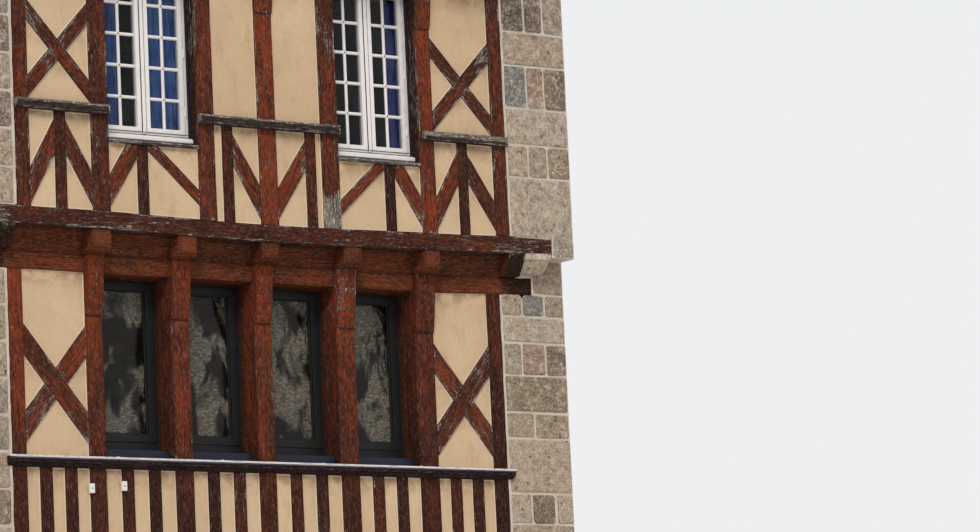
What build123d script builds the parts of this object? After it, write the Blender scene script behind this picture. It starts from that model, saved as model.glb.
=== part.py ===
"""Half timbered town house between two granite party walls.

Three storeys stand under a steep slate roof. The street front is an oak frame with
plastered panels, and each upper storey oversails the one below on joist ends that the
swelling heads of the posts carry. Millimetres, X along the street, Y into the house,
Z up, with the origin on the ground under the middle of the house.
"""

import os
from dataclasses import dataclass
from itertools import groupby
from math import atan2, cos, radians, tan

from build123d import *

# Plan
CLEAR_WIDTH = 5000          # timber front, from party wall to party wall
PARTY_WALL = 700            # thickness of each shared wall
DEPTH = 7000                # from the second floor's front to the back
JETTY = 200                 # how far each upper storey oversails the one below

# Heights of the frame, from the ground up
PLINTH_HEIGHT = 620         # granite base under the street front
SOLE_HEIGHT = 150           # beam under the posts of a storey
PLATE_HEIGHT = 150          # beam over the posts of a storey
JOIST_HEIGHT = 195
GROUND_POST = 2290          # post height, sole to plate
FIRST_POST = 2445
SECOND_POST = 2195
GROUND_FLOOR_LEVEL = 160    # top of the ground floor slab, one step above the street

# Timbers
FRAME_DEPTH = 180           # front to back of posts, studs, rails and braces
STUD_WIDTH = 118            # close studs under the windows
SLIM_STUD = 108             # studs of the second floor
BRACE_WIDTH = 168           # crossed braces of the first floor
SLIM_BRACE = 124            # crossed braces of the second floor
STEEP_STRUT = 145           # slanting struts under the second floor's rails
FLAT_STRUT = 98             # the flatter ones under its windows
CONSOLE_REACH = 72          # how far a post head swells forward
CONSOLE_LIP = 14            # step at its foot
CONSOLE_DROP = 510          # its foot below the joists
CONSOLE_BELLY = (0.64, 0.5)     # middle of the swelling, as shares of its reach and height
JOIST_WIDTH = 190
JOIST_SETBACK = 12          # joist ends behind the face of the beam above
JOIST_BEVEL = 40            # slope under a joist's end
JOIST_ARRIS = 14            # upright edges of the end, planed off
JETTY_BOARD = 30            # boards between the joists, that close the gap over the plate
JETTY_BOARD_SETBACK = 130   # their upper edge behind the face of the beam above
EAVES_JETTY = 80            # how far the eaves beams stand out, front and back
BIRDSMOUTH = 45             # rafters are let down this far over the eaves beams
PLATE_BEARING = 350         # how far plates run on over the party walls
SOLE_BEARING = 455          # and the beams that carry the upper storeys

# Posts between the two end posts, left to right: centre and width
GROUND_INNER_POSTS = ((-1680, 175), (-840, 160), (0, 175), (1105, 175), (1665, 170))
FIRST_INNER_POSTS = ((-1682, 160), (-844, 178), (-19, 170), (828, 186), (1660, 200))
SECOND_INNER_POSTS = ((-1680, 171), (-635, 170), (-21, 182), (620, 180), (1645, 160))
END_POST = 148              # width of the posts against the party walls

# What each bay holds, and the heads of the posts, left to right
GROUND_BAYS = ("cross", "window", "window", "door", "stud", "cross")
FIRST_BAYS = ("cross", "window", "window", "window", "window", "cross")
SECOND_BAYS = ("cross", "window", "panel", "panel", "window", "cross")
GROUND_HEADS = ("plain", "swelling", "plain", "swelling", "plain", "swelling", "plain")
FIRST_HEADS = ("plain", "swelling", "swelling", "swelling", "swelling", "swelling", "plain")
SECOND_HEADS = ("plain", "swelling", "plain", "swelling", "plain", "swelling", "plain")

# Second floor studs, one a bay: offset from the bay's middle, and the struts to its left and right
SECOND_STUDS = ((0, STEEP_STRUT, STEEP_STRUT), (-112, STEEP_STRUT, FLAT_STRUT), (-94, 0, STEEP_STRUT),
                (118, STEEP_STRUT, 0), (100, FLAT_STRUT, STEEP_STRUT), (-14, STEEP_STRUT, STEEP_STRUT))
STRUT_LOW = 6672            # struts' centre lines at the posts
STRUT_HIGH = 7100           # and at the studs

# Panels between the timbers
INFILL_SETBACK = 15         # plaster behind the face of the timbers
INFILL_THICKNESS = 150
INNER_LINING = 130          # inner wall behind the first floor's frame

# Rails and sills
GROUND_RAIL_HEIGHT = 100
GROUND_RAIL_LEVEL = 1100    # top of the ground floor's rail
FIRST_RAIL_LEVEL = 4435     # top of the first floor's rail
FIRST_RAIL_HEIGHT = 85
FIRST_RAIL_SPLAY = 38       # rise of its sloping underside
RAIL_PROJECTION = 60
RAIL_EAR = 45               # the first floor's rail runs this far over each party wall
FLASHING = 8                # lead over the first floor's rail
FLASHING_DRIP = 30          # height of its turned down edge
SECOND_RAIL_HEIGHT = 82
SECOND_RAIL_PROJECTION = 45
SECOND_RAIL_TOPS = (7396, None, 7386, 7386, None, 7404)       # one a bay, none under a window
RAIL_OVERRUNS = ((0, 25), (25, 25), (-30, 0))    # how far each length runs past its end posts
WINDOW_BOARD = 34           # grey oak sill under the second floor's windows
WINDOW_BOARD_LEVEL = 7115   # its top
WINDOW_BOARD_NOSE = 15

# Crossed braces: heights of the centre lines at the posts
FIRST_CROSS = (4685, 5416)
SECOND_CROSS = (7508, 8170)
GROUND_CROSS = (1290, 2100)
BACK_CROSS_RISE = 0.55      # half height of the back's crosses, as a share of their bay

# Windows
DARK_RECESS = 240           # first floor frames behind the face
DARK_FRAME = 70             # their thickness
DARK_STILE = 108
DARK_BOTTOM_RAIL = 150
DARK_TOP_RAIL = 90
DARK_SILL_SETBACK = 85
DARK_SILL_HEIGHT = 95
WHITE_RECESS = 150
WHITE_FRAME = 55
WHITE_STILE = 72
WHITE_MEETING_STILE = 128
WHITE_BOTTOM_RAIL = 150
WHITE_TOP_RAIL = 75
WHITE_DRIP = 28             # height of the drip moulding on the lowest rail
WHITE_DRIP_NOSE = 40
GLASS = 6

# Street door
DOOR_THICKNESS = 60
DOOR_HEIGHT = 2080
DOOR_RECESS = 90
LINTEL_HEIGHT = 140

# Party walls, corbels, roof and chimneys
CORBEL_WIDTH = 250
CORBEL_HEIGHT = 170
CORBEL_CAP = 62             # the square block on the corbel's rounded foot
CORBEL_LIP = 10             # how far that block stands past it
CORBEL_BELLY = (0.3, 0.35)  # middle of the rounding, as shares of its reach and height
CORBEL_GAP = 180            # corbel's near edge from the timber front
BOLSTER_FOOT = 70           # its foot stands this far in front of the plate
BOLSTER_SEAT = 60           # and rests this far on it
ROOF_PITCH = 48
RAFTER_WIDTH = 80
RAFTER_DEPTH = 110
RAFTER_BAYS = 10
ROOF_SKIN = 60              # boarding and slates
EAVES_OVERHANG = 320        # level distance from the wall's face
PARAPET_RISE = 170          # party wall above the slates, square to the slope
COPING_THICKNESS = 70
COPING_OVERHANG = 40
RIDGE_RADIUS = 110
RIDGE_BED = 0.35            # share of the radius that sits below the ridge line
STACK_DEPTH = 1300          # chimney stack, along the party wall
STACK_RISE = 750            # above the ridge
STACK_SETBACK = 40
STACK_CAP = 130
POT_RADIUS = 120
POT_HEIGHT = 320
POT_WALL = 22
POT_TAPER = 0.86
POT_MOUTH = 60              # depth of the mouth above the pot's flaunching
POT_SPACING = 380

# Floors
BOARD_THICKNESS = 40
SLAB_THICKNESS = 160
STEP_DEPTH = 330

# Small things on the front
BOX_PLACES = ((-79, 252), (231, 227))   # two white wall boxes: from the second post, below the rail's top
BOX_SIZE = (57, 30, 80)
CURTAIN_DEPTH = 60
CURTAIN_GAP = 60            # from the window frame to the cloth
CURTAIN_WIDTHS = (0.46, 0.46)       # left and right cloth, as shares of the window
CURTAIN_FLOOR_GAP = 60
ROD_RADIUS = 12
ROD_DROP = 60               # rod below the plate
ROD_BRACKET = 24
SEAT = 0.3                  # clearance where soft or round things meet their seat
CUT_MARGIN = 1              # cutting shapes run this far past what they cut

# Levels worked out from the sizes above
HALF = CLEAR_WIDTH / 2
STACK_OF_BEAMS = PLATE_HEIGHT + JOIST_HEIGHT + SOLE_HEIGHT
GROUND_FOOT = PLINTH_HEIGHT + SOLE_HEIGHT
GROUND_PLATE = GROUND_FOOT + GROUND_POST
FIRST_FOOT = GROUND_PLATE + STACK_OF_BEAMS
FIRST_PLATE = FIRST_FOOT + FIRST_POST
SECOND_FOOT = FIRST_PLATE + STACK_OF_BEAMS
SECOND_PLATE = SECOND_FOOT + SECOND_POST
EAVES = SECOND_PLATE + STACK_OF_BEAMS           # top of the beam that carries the rafters
SECOND_FACE = -DEPTH / 2
FIRST_FACE = SECOND_FACE + JETTY
GROUND_FACE = FIRST_FACE + JETTY
BACK_FACE = DEPTH / 2


def with_end_posts(inner):
    """The whole row of posts, with one against each party wall."""
    end = HALF - END_POST / 2
    return ((-end, END_POST),) + inner + ((end, END_POST),)


GROUND_POSTS = with_end_posts(GROUND_INNER_POSTS)
FIRST_POSTS = with_end_posts(FIRST_INNER_POSTS)
SECOND_POSTS = with_end_posts(SECOND_INNER_POSTS)


@dataclass
class Wall:
    """A framed wall: its outer face, and which way is in."""
    face: float
    inward: int = 1

    def band(self, near, far):
        """Y range from near to far behind the face."""
        return sorted((self.face + self.inward * near, self.face + self.inward * far))


GROUND_FRONT = Wall(GROUND_FACE)
FIRST_FRONT = Wall(FIRST_FACE)
SECOND_FRONT = Wall(SECOND_FACE)
BACK = Wall(BACK_FACE, -1)


def block(x, y, z):
    """Box between two values on each axis."""
    corner = Pos(x[0], y[0], z[0])
    return corner * Box(x[1] - x[0], y[1] - y[0], z[1] - z[0], align=(Align.MIN,) * 3)


def board(outline, y):
    """Outline of (x, z) points in the plane of the front, as deep as the y range."""
    face = make_face(Polyline(*[(px, y[0], pz) for px, pz in outline], close=True))
    return extrude(face, amount=y[1] - y[0], dir=(0, 1, 0))


def section(outline, x):
    """Outline of (y, z) points, square to the front, as long as the x range."""
    face = make_face(Polyline(*[(x[0], py, pz) for py, pz in outline], close=True))
    return extrude(face, amount=x[1] - x[0], dir=(1, 0, 0))


def solids(*parts):
    """All the solids of several shapes, as one flat list."""
    found = []
    for part in parts:
        if isinstance(part, (list, tuple)):
            found += solids(*part)
        else:
            found += list(part.solids())
    return found


def cut(parts, tools):
    """Each solid of parts less every tool, as a flat list of solids."""
    tools = solids(tools)
    kept = []
    for part in solids(parts):
        box = part.bounding_box()
        near = [tool for tool in tools if overlap(box, tool.bounding_box())]
        kept += solids(part.cut(*near)) if near else [part]
    return kept


def overlap(a, b):
    """Do two bounding boxes share any room?"""
    return (a.min.X < b.max.X and b.min.X < a.max.X and a.min.Y < b.max.Y
            and b.min.Y < a.max.Y and a.min.Z < b.max.Z and b.min.Z < a.max.Z)


def edges_of(post):
    """Left and right face of a post given by centre and width."""
    centre, width = post
    return centre - width / 2, centre + width / 2


def bay(posts, index):
    """Clear width between post index and the next one."""
    return edges_of(posts[index])[1], edges_of(posts[index + 1])[0]


def bays_with(bays, *kinds):
    """Indices of the bays that hold one of these kinds."""
    return [index for index, kind in enumerate(bays) if kind in kinds]


# Frame pieces

def plain_post(wall, post, foot, head):
    return block(edges_of(post), wall.band(0, FRAME_DEPTH), (foot, head))


def console_post(wall, post, foot, plate):
    """Post whose head swells forward, past the plate, to carry a joist."""
    x = edges_of(post)
    face, back = wall.face, wall.face + FRAME_DEPTH
    top = plate + PLATE_HEIGHT
    low = top - CONSOLE_DROP
    nose = face - CONSOLE_REACH
    lip = face - CONSOLE_LIP
    reach = CONSOLE_REACH - CONSOLE_LIP
    middle = (x[0], lip - CONSOLE_BELLY[0] * reach, low + CONSOLE_BELLY[1] * CONSOLE_DROP)
    swelling = ThreePointArc((x[0], lip, low), middle, (x[0], nose, top))
    rest = Polyline((x[0], nose, top), (x[0], face, top), (x[0], face, plate), (x[0], back, plate),
                    (x[0], back, foot), (x[0], face, foot), (x[0], face, low), (x[0], lip, low))
    profile = make_face(Wire(swelling.edges() + rest.edges()))
    return extrude(profile, amount=x[1] - x[0], dir=(1, 0, 0))


def posts_of(wall, posts, foot, plate, heads):
    made = []
    for post, head in zip(posts, heads):
        shape = console_post if head == "swelling" else plain_post
        made.append(shape(wall, post, foot, plate))
    return solids(made)


def close_studs(wall, posts, bays, z, count=2):
    """Evenly spaced studs in the bays that are named."""
    made = []
    for index in bays:
        left, right = bay(posts, index)
        gap = (right - left - count * STUD_WIDTH) / (count + 1)
        for number in range(count):
            start = left + gap + number * (gap + STUD_WIDTH)
            made.append(block((start, start + STUD_WIDTH), wall.band(0, FRAME_DEPTH), z))
    return solids(made)


def strut(wall, start, end, width):
    """Slanting timber with upright ends, between two (x, z) points on its centre line."""
    slope = atan2(abs(end[1] - start[1]), abs(end[0] - start[0]))
    half = width / 2 / cos(slope)
    outline = [(start[0], start[1] + half), (end[0], end[1] + half),
               (end[0], end[1] - half), (start[0], start[1] - half)]
    return board(outline, wall.band(0, FRAME_DEPTH))


def crossed_braces(wall, clear, levels, width, rising_in_front):
    """Two braces halved into each other where they cross."""
    low, high = levels
    left, right = clear
    falling = strut(wall, (left, high), (right, low), width)
    rising = strut(wall, (left, low), (right, high), width)
    front, rear = (rising, falling) if rising_in_front else (falling, rising)
    lap = front & rear
    heights = (low - width, high + width)
    outer_half = lap & block(clear, wall.band(0, FRAME_DEPTH / 2), heights)
    inner_half = lap & block(clear, wall.band(FRAME_DEPTH / 2, FRAME_DEPTH), heights)
    front, rear = front - inner_half, rear - outer_half
    return (rear, front) if rising_in_front else (front, rear)


def crosses(wall, posts, bays, levels, width):
    """The crosses of a storey: their falling braces, and their rising ones."""
    falling, rising = [], []
    for index in bays_with(bays, "cross"):
        right_half = index >= len(bays) / 2
        pair = crossed_braces(wall, bay(posts, index), levels, width, right_half)
        falling.append(pair[0])
        rising.append(pair[1])
    return solids(falling), solids(rising)


def infill(wall, x, z, timbers, holes=()):
    """Plaster between the timbers, as separate panels, with the openings left out."""
    slab = block(x, wall.band(INFILL_SETBACK, INFILL_SETBACK + INFILL_THICKNESS), z)
    return cut([slab], solids(timbers, list(holes)))


def through(wall, x, z):
    """The room that a window or door takes out of a wall."""
    return block(x, wall.band(-JETTY, FRAME_DEPTH + INNER_LINING + JETTY), z)


def ring(x, y, z, sides, bottom, top, middle=0):
    """Window frame: an outline with one light, or two beside a meeting stile."""
    outer = block(x, y, z)
    inner_z = (z[0] + bottom, z[1] - top)
    if not middle:
        return outer - block((x[0] + sides, x[1] - sides), y, inner_z)
    centre = (x[0] + x[1]) / 2
    left = block((x[0] + sides, centre - middle / 2), y, inner_z)
    right = block((centre + middle / 2, x[1] - sides), y, inner_z)
    return outer - left - right


def panes(x, y, z, sides, bottom, top, middle=0):
    """The glass that fills a ring."""
    depth = ((y[0] + y[1] - GLASS) / 2, (y[0] + y[1] + GLASS) / 2)
    inner_z = (z[0] + bottom, z[1] - top)
    if not middle:
        return [block((x[0] + sides, x[1] - sides), depth, inner_z)]
    centre = (x[0] + x[1]) / 2
    return [block((x[0] + sides, centre - middle / 2), depth, inner_z),
            block((centre + middle / 2, x[1] - sides), depth, inner_z)]


def white_window(wall, x, z):
    """Two white leaves with a drip moulding at the foot, and their glass."""
    y = wall.band(WHITE_RECESS, WHITE_RECESS + WHITE_FRAME)
    sizes = (WHITE_STILE, WHITE_BOTTOM_RAIL, WHITE_TOP_RAIL, WHITE_MEETING_STILE)
    frame = ring(x, y, z, *sizes)
    nose = wall.band(WHITE_RECESS - WHITE_DRIP_NOSE, WHITE_RECESS)
    frame += block(x, nose, (z[0], z[0] + WHITE_DRIP))
    return frame, panes(x, y, z, *sizes)


# Beams and floors

def beam(wall, z, depth, reach):
    """Level beam along a wall, running on over both party walls."""
    return block((-HALF - reach, HALF + reach), wall.band(0, depth), z)


def joists(centres, front, back, level):
    """Floor joists from the front, where their ends show, to the back."""
    y = (front + JOIST_SETBACK, back - JOIST_SETBACK)
    z = (level, level + JOIST_HEIGHT)
    joist = block((-JOIST_WIDTH / 2, JOIST_WIDTH / 2), y, z)
    lowest = joist.edges().filter_by(Axis.X).group_by(Axis.Z)[0]
    joist = chamfer(lowest.group_by(Axis.Y)[0], JOIST_BEVEL)
    upright = joist.edges().filter_by(Axis.Z).group_by(Axis.Y)[0]
    joist = chamfer(upright, JOIST_ARRIS)
    return solids([Pos(centre, 0, 0) * joist for centre in centres])


def jetty_boards(centres, front, level):
    """Boards that lean from the upper beam back to the plate, between the joists."""
    ends = [c + side * JOIST_WIDTH / 2 for c in centres for side in (-1, 1)]
    ends = [-HALF] + ends + [HALF]
    near, far = front + JETTY_BOARD_SETBACK, front + JETTY
    top = level + JOIST_HEIGHT
    outline = [(near, top), (far, level), (far + JETTY_BOARD, level), (near + JETTY_BOARD, top)]
    return solids([section(outline, pair) for pair in zip(ends[::2], ends[1::2])])


def bolster(side, front, level):
    """Oak block with a sloping front, between plate and upper beam, where they enter a party wall."""
    x = sorted((side * HALF, side * (HALF + CORBEL_GAP)))
    top = level + JOIST_HEIGHT
    foot = front + JETTY - BOLSTER_FOOT
    back = front + JETTY + BOLSTER_SEAT
    return section([(back, level), (back, top), (front + JOIST_SETBACK, top), (foot, level)], x)


def floor_boards(front, level):
    """Boards behind the front's sole beam, as far as the back wall's frame."""
    y = (front + JETTY, BACK_FACE - FRAME_DEPTH)
    return block((-HALF, HALF), y, (level, level + BOARD_THICKNESS))


# Masonry

def roof_line(y, lift=0):
    """Height of the rafters' upper side at a distance y from the ridge, plus a lift."""
    pitch = radians(ROOF_PITCH)
    foot = EAVES - BIRDSMOUTH + RAFTER_DEPTH / cos(pitch)
    return foot + (DEPTH / 2 + EAVES_JETTY - abs(y)) * tan(pitch) + lift / cos(pitch)


WALL_TOP = ROOF_SKIN + PARAPET_RISE
RIDGE_TOP = roof_line(0, WALL_TOP)
STACK_FOOT = roof_line(STACK_DEPTH / 2, WALL_TOP)


def party_wall(side):
    """Granite wall with stepped front, sloping gable and a level seat for the stack."""
    x = sorted((side * HALF, side * (HALF + PARTY_WALL)))
    eaves_end = DEPTH / 2
    outline = [(GROUND_FACE, 0), (GROUND_FACE, FIRST_FOOT - SOLE_HEIGHT),
               (FIRST_FACE, FIRST_FOOT - SOLE_HEIGHT), (FIRST_FACE, SECOND_FOOT - SOLE_HEIGHT),
               (SECOND_FACE, SECOND_FOOT - SOLE_HEIGHT),
               (SECOND_FACE, roof_line(eaves_end, WALL_TOP)),
               (-STACK_DEPTH / 2, STACK_FOOT), (STACK_DEPTH / 2, STACK_FOOT),
               (BACK_FACE, roof_line(eaves_end, WALL_TOP)), (BACK_FACE, 0)]
    return section(outline, x)


def coping(side, end):
    """Sloping coping stones on one shoulder of a party wall."""
    x = sorted((side * (HALF - COPING_OVERHANG), side * (HALF + PARTY_WALL)))
    foot = DEPTH / 2 + COPING_OVERHANG
    head = STACK_DEPTH / 2
    outline = [(end * foot, roof_line(foot, WALL_TOP)), (end * head, roof_line(head, WALL_TOP)),
               (end * head, roof_line(head, WALL_TOP + COPING_THICKNESS)),
               (end * foot, roof_line(foot, WALL_TOP + COPING_THICKNESS))]
    return section(outline, x)


def chimney(side):
    """Granite stack on the party wall, with an oversailing cap."""
    x = sorted((side * (HALF + STACK_SETBACK), side * (HALF + PARTY_WALL - STACK_SETBACK)))
    top = RIDGE_TOP + STACK_RISE
    shaft = block(x, (-STACK_DEPTH / 2, STACK_DEPTH / 2), (STACK_FOOT, top))
    cap_x = (x[0] - STACK_SETBACK, x[1] + STACK_SETBACK)
    half = STACK_DEPTH / 2 + STACK_SETBACK
    return shaft + block(cap_x, (-half, half), (top, top + STACK_CAP))


def pots(side):
    """Tapered clay pots on a stack, each with a shallow mouth."""
    x = side * (HALF + PARTY_WALL / 2)
    foot = RIDGE_TOP + STACK_RISE + STACK_CAP
    head = POT_RADIUS * POT_TAPER
    profile = Polyline((0, 0), (POT_RADIUS, 0), (head, POT_HEIGHT), (head - POT_WALL, POT_HEIGHT),
                       (head - POT_WALL, POT_HEIGHT - POT_MOUTH), (0, POT_HEIGHT - POT_MOUTH), close=True)
    pot = revolve(Plane.XZ * make_face(profile), Axis.Z)
    return solids([Pos(x, y, foot) * pot for y in (-POT_SPACING, 0, POT_SPACING)])


def corbel(side, front, beam_foot):
    """Stone under the end of the beam that carries the upper storey."""
    near = HALF + CORBEL_GAP
    x = sorted((side * near, side * (near + CORBEL_WIDTH)))
    wall_face = front + JETTY
    foot = beam_foot - CORBEL_HEIGHT
    cap = beam_foot - CORBEL_CAP
    lip = front + JOIST_SETBACK
    nose = lip + CORBEL_LIP
    profile = Polyline((x[0], wall_face, foot), (x[0], wall_face, beam_foot), (x[0], lip, beam_foot),
                       (x[0], lip, cap), (x[0], nose, cap))
    belly = (x[0], nose + CORBEL_BELLY[0] * (wall_face - nose), foot + CORBEL_BELLY[1] * (cap - foot))
    curve = ThreePointArc((x[0], nose, cap), belly, (x[0], wall_face, foot))
    face = make_face(Wire(profile.edges() + curve.edges()))
    return extrude(face, amount=CORBEL_WIDTH, dir=(1, 0, 0))


# Storeys

def white_windows(wall, posts, bays, z):
    """White windows in a storey's window bays: frames, glass and the room they take."""
    frames, glass, holes = [], [], []
    for index in bays_with(bays, "window"):
        x = bay(posts, index)
        frame, sheets = white_window(wall, x, z)
        frames.append(frame)
        glass += sheets
        holes.append(through(wall, x, z))
    return frames, glass, holes


def ground_storey():
    """Posts on a sole beam over a granite plinth, two windows and the street door."""
    wall, posts, foot, plate = GROUND_FRONT, GROUND_POSTS, GROUND_FOOT, GROUND_PLATE
    bays = GROUND_BAYS
    door = bay(posts, bays.index("door"))
    doorway = through(wall, door, (0, GROUND_FLOOR_LEVEL + DOOR_HEIGHT + LINTEL_HEIGHT))
    door_head = GROUND_FLOOR_LEVEL + DOOR_HEIGHT
    rail_z = (GROUND_RAIL_LEVEL - GROUND_RAIL_HEIGHT, GROUND_RAIL_LEVEL)
    uprights = posts_of(wall, posts, foot, plate, GROUND_HEADS)
    sole = block((-HALF, HALF), wall.band(0, FRAME_DEPTH), (PLINTH_HEIGHT, foot))
    sole = cut([sole], [doorway])
    rail = block((-HALF, HALF), wall.band(-RAIL_PROJECTION / 2, FRAME_DEPTH), rail_z)
    rails = cut([rail], [uprights, doorway])
    lintel = block(door, wall.band(0, FRAME_DEPTH), (door_head, door_head + LINTEL_HEIGHT))
    narrow = bays_with(bays, "stud")
    studs = close_studs(wall, posts, bays_with(bays, "cross", "window"), (foot, rail_z[0]))
    studs += close_studs(wall, posts, narrow, (foot, rail_z[0]), count=1)
    studs += close_studs(wall, posts, narrow, (GROUND_RAIL_LEVEL, plate), count=1)
    falling, rising = crosses(wall, posts, bays, GROUND_CROSS, BRACE_WIDTH)
    frames, glass, holes = white_windows(wall, posts, bays, (GROUND_RAIL_LEVEL, plate))
    timbers = solids(uprights, sole, rails, lintel, studs, falling, rising)
    leaf_y = wall.band(DOOR_RECESS, DOOR_RECESS + DOOR_THICKNESS)
    plinth = block((-HALF, HALF), wall.band(-RAIL_PROJECTION, FRAME_DEPTH), (0, PLINTH_HEIGHT))
    return {
        "ground_posts": uprights,
        "ground_rails": solids(sole, rails, lintel),
        "close_studs": studs,
        "falling_braces": falling,
        "rising_braces": rising,
        "front_infill": infill(wall, (-HALF, HALF), (foot, plate), timbers, holes + [doorway]),
        "white_window_frames": frames,
        "white_window_glass": glass,
        "street_door": [block(door, leaf_y, (GROUND_FLOOR_LEVEL, door_head))],
        "granite_plinths": cut([plinth], [doorway]),
        "door_step": [block(door, wall.band(-STEP_DEPTH, FRAME_DEPTH), (0, GROUND_FLOOR_LEVEL))],
    }


def first_storey():
    """Seven posts, five with swelling heads, four dark windows and a close studded breast."""
    wall, posts, foot, plate = FIRST_FRONT, FIRST_POSTS, FIRST_FOOT, FIRST_PLATE
    uprights = posts_of(wall, posts, foot, plate, FIRST_HEADS)
    rail_z = (FIRST_RAIL_LEVEL - FIRST_RAIL_HEIGHT, FIRST_RAIL_LEVEL)
    rail = cut([rail_moulding(wall, rail_z)], uprights)
    studs = close_studs(wall, posts, range(len(posts) - 1), (foot, rail_z[0]))
    falling, rising = crosses(wall, posts, FIRST_BAYS, FIRST_CROSS, BRACE_WIDTH)
    sill_top = FIRST_RAIL_LEVEL + DARK_SILL_HEIGHT
    frame_y = wall.band(DARK_RECESS, DARK_RECESS + DARK_FRAME)
    sill_y = wall.band(DARK_SILL_SETBACK, DARK_RECESS + DARK_FRAME)
    sizes = (DARK_STILE, DARK_BOTTOM_RAIL, DARK_TOP_RAIL)
    frames, glass, sills, holes = [], [], [], []
    for index in bays_with(FIRST_BAYS, "window"):
        x = bay(posts, index)
        frames.append(ring(x, frame_y, (sill_top, plate), *sizes))
        glass += panes(x, frame_y, (sill_top, plate), *sizes)
        sills.append(block(x, sill_y, (FIRST_RAIL_LEVEL, sill_top)))
        holes.append(through(wall, x, (FIRST_RAIL_LEVEL, plate)))
    timbers = solids(uprights, rail, studs, falling, rising)
    floor = foot - SOLE_HEIGHT
    lining = block((-HALF, HALF), wall.band(FRAME_DEPTH, FRAME_DEPTH + INNER_LINING),
                   (floor + BOARD_THICKNESS, plate))
    sole = beam(wall, (floor, foot), JETTY, SOLE_BEARING)
    return {
        "first_posts": uprights,
        "first_sill_rail": rail,
        "first_rail_flashing": [flashing(wall)],
        "close_studs": studs,
        "falling_braces": falling,
        "rising_braces": rising,
        "front_infill": infill(wall, (-HALF, HALF), (foot, plate), timbers, holes),
        "first_window_frames": frames,
        "first_window_glass": glass,
        "first_window_sills": sills,
        "first_inner_lining": cut([lining], holes + [sole]),
        "wall_boxes": wall_boxes(wall),
    }


def wall_boxes(wall):
    """Two small white boxes on the first floor's breast."""
    wide, deep, tall = BOX_SIZE
    centre = FIRST_INNER_POSTS[0][0]
    box = block((-wide / 2, wide / 2), wall.band(-deep, 0), (-tall / 2, tall / 2))
    return [Pos(centre + offset, 0, FIRST_RAIL_LEVEL - drop) * box for offset, drop in BOX_PLACES]


def rail_moulding(wall, z):
    """The first floor's rail: a beam with a sloping underside to its nose."""
    face, nose = wall.face, wall.face - RAIL_PROJECTION
    x = (-HALF - RAIL_EAR, HALF + RAIL_EAR)
    splay = z[0] + FIRST_RAIL_SPLAY
    front = section([(face, z[0]), (nose, splay), (nose, z[1]), (face, z[1])], x)
    return front + block((-HALF, HALF), wall.band(0, FRAME_DEPTH), z)


def flashing(wall):
    """Lead over the first floor's rail, turned down over its nose."""
    face, nose = wall.face, wall.face - RAIL_PROJECTION
    low, top = FIRST_RAIL_LEVEL, FIRST_RAIL_LEVEL + FLASHING
    drip = top - FLASHING_DRIP
    outline = [(face, low), (nose, low), (nose, drip), (nose - FLASHING, drip), (nose - FLASHING, top),
               (face, top)]
    return section(outline, (-HALF - RAIL_EAR, HALF + RAIL_EAR))


def second_breast(wall, posts, foot):
    """Studs and slanting struts under the second floor's rails and windows."""
    studs, struts = [], []
    for index, (offset, left_strut, right_strut) in enumerate(SECOND_STUDS):
        left, right = bay(posts, index)
        centre = (left + right) / 2 + offset
        near, far = centre - SLIM_STUD / 2, centre + SLIM_STUD / 2
        rail_top = SECOND_RAIL_TOPS[index]
        top = rail_top - SECOND_RAIL_HEIGHT if rail_top else WINDOW_BOARD_LEVEL - WINDOW_BOARD
        studs.append(block((near, far), wall.band(0, FRAME_DEPTH), (foot, top)))
        leaning = []
        if left_strut:
            leaning.append(strut(wall, (left, STRUT_LOW), (near, STRUT_HIGH), left_strut))
        if right_strut:
            leaning.append(strut(wall, (far, STRUT_HIGH), (right, STRUT_LOW), right_strut))
        depth = wall.band(-CUT_MARGIN, FRAME_DEPTH + CUT_MARGIN)
        above = block((left, right), depth, (top, top + 2 * STEEP_STRUT))
        struts += cut(leaning, [above])
    return solids(studs), struts


def second_rails(wall, posts):
    """Lengths of sill rail between the windows, planted over the posts and notched round them."""
    y = wall.band(-SECOND_RAIL_PROJECTION, FRAME_DEPTH)
    runs = groupby(range(len(SECOND_RAIL_TOPS)), key=SECOND_RAIL_TOPS.__getitem__)
    runs = [(top, list(run)) for top, run in runs if top]
    rails = []
    for (top, run), (before, after) in zip(runs, RAIL_OVERRUNS):
        left = edges_of(posts[run[0]])[0] - before
        right = edges_of(posts[run[-1] + 1])[1] + after
        rails.append(block((left, right), y, (top - SECOND_RAIL_HEIGHT, top)))
    return rails


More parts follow.
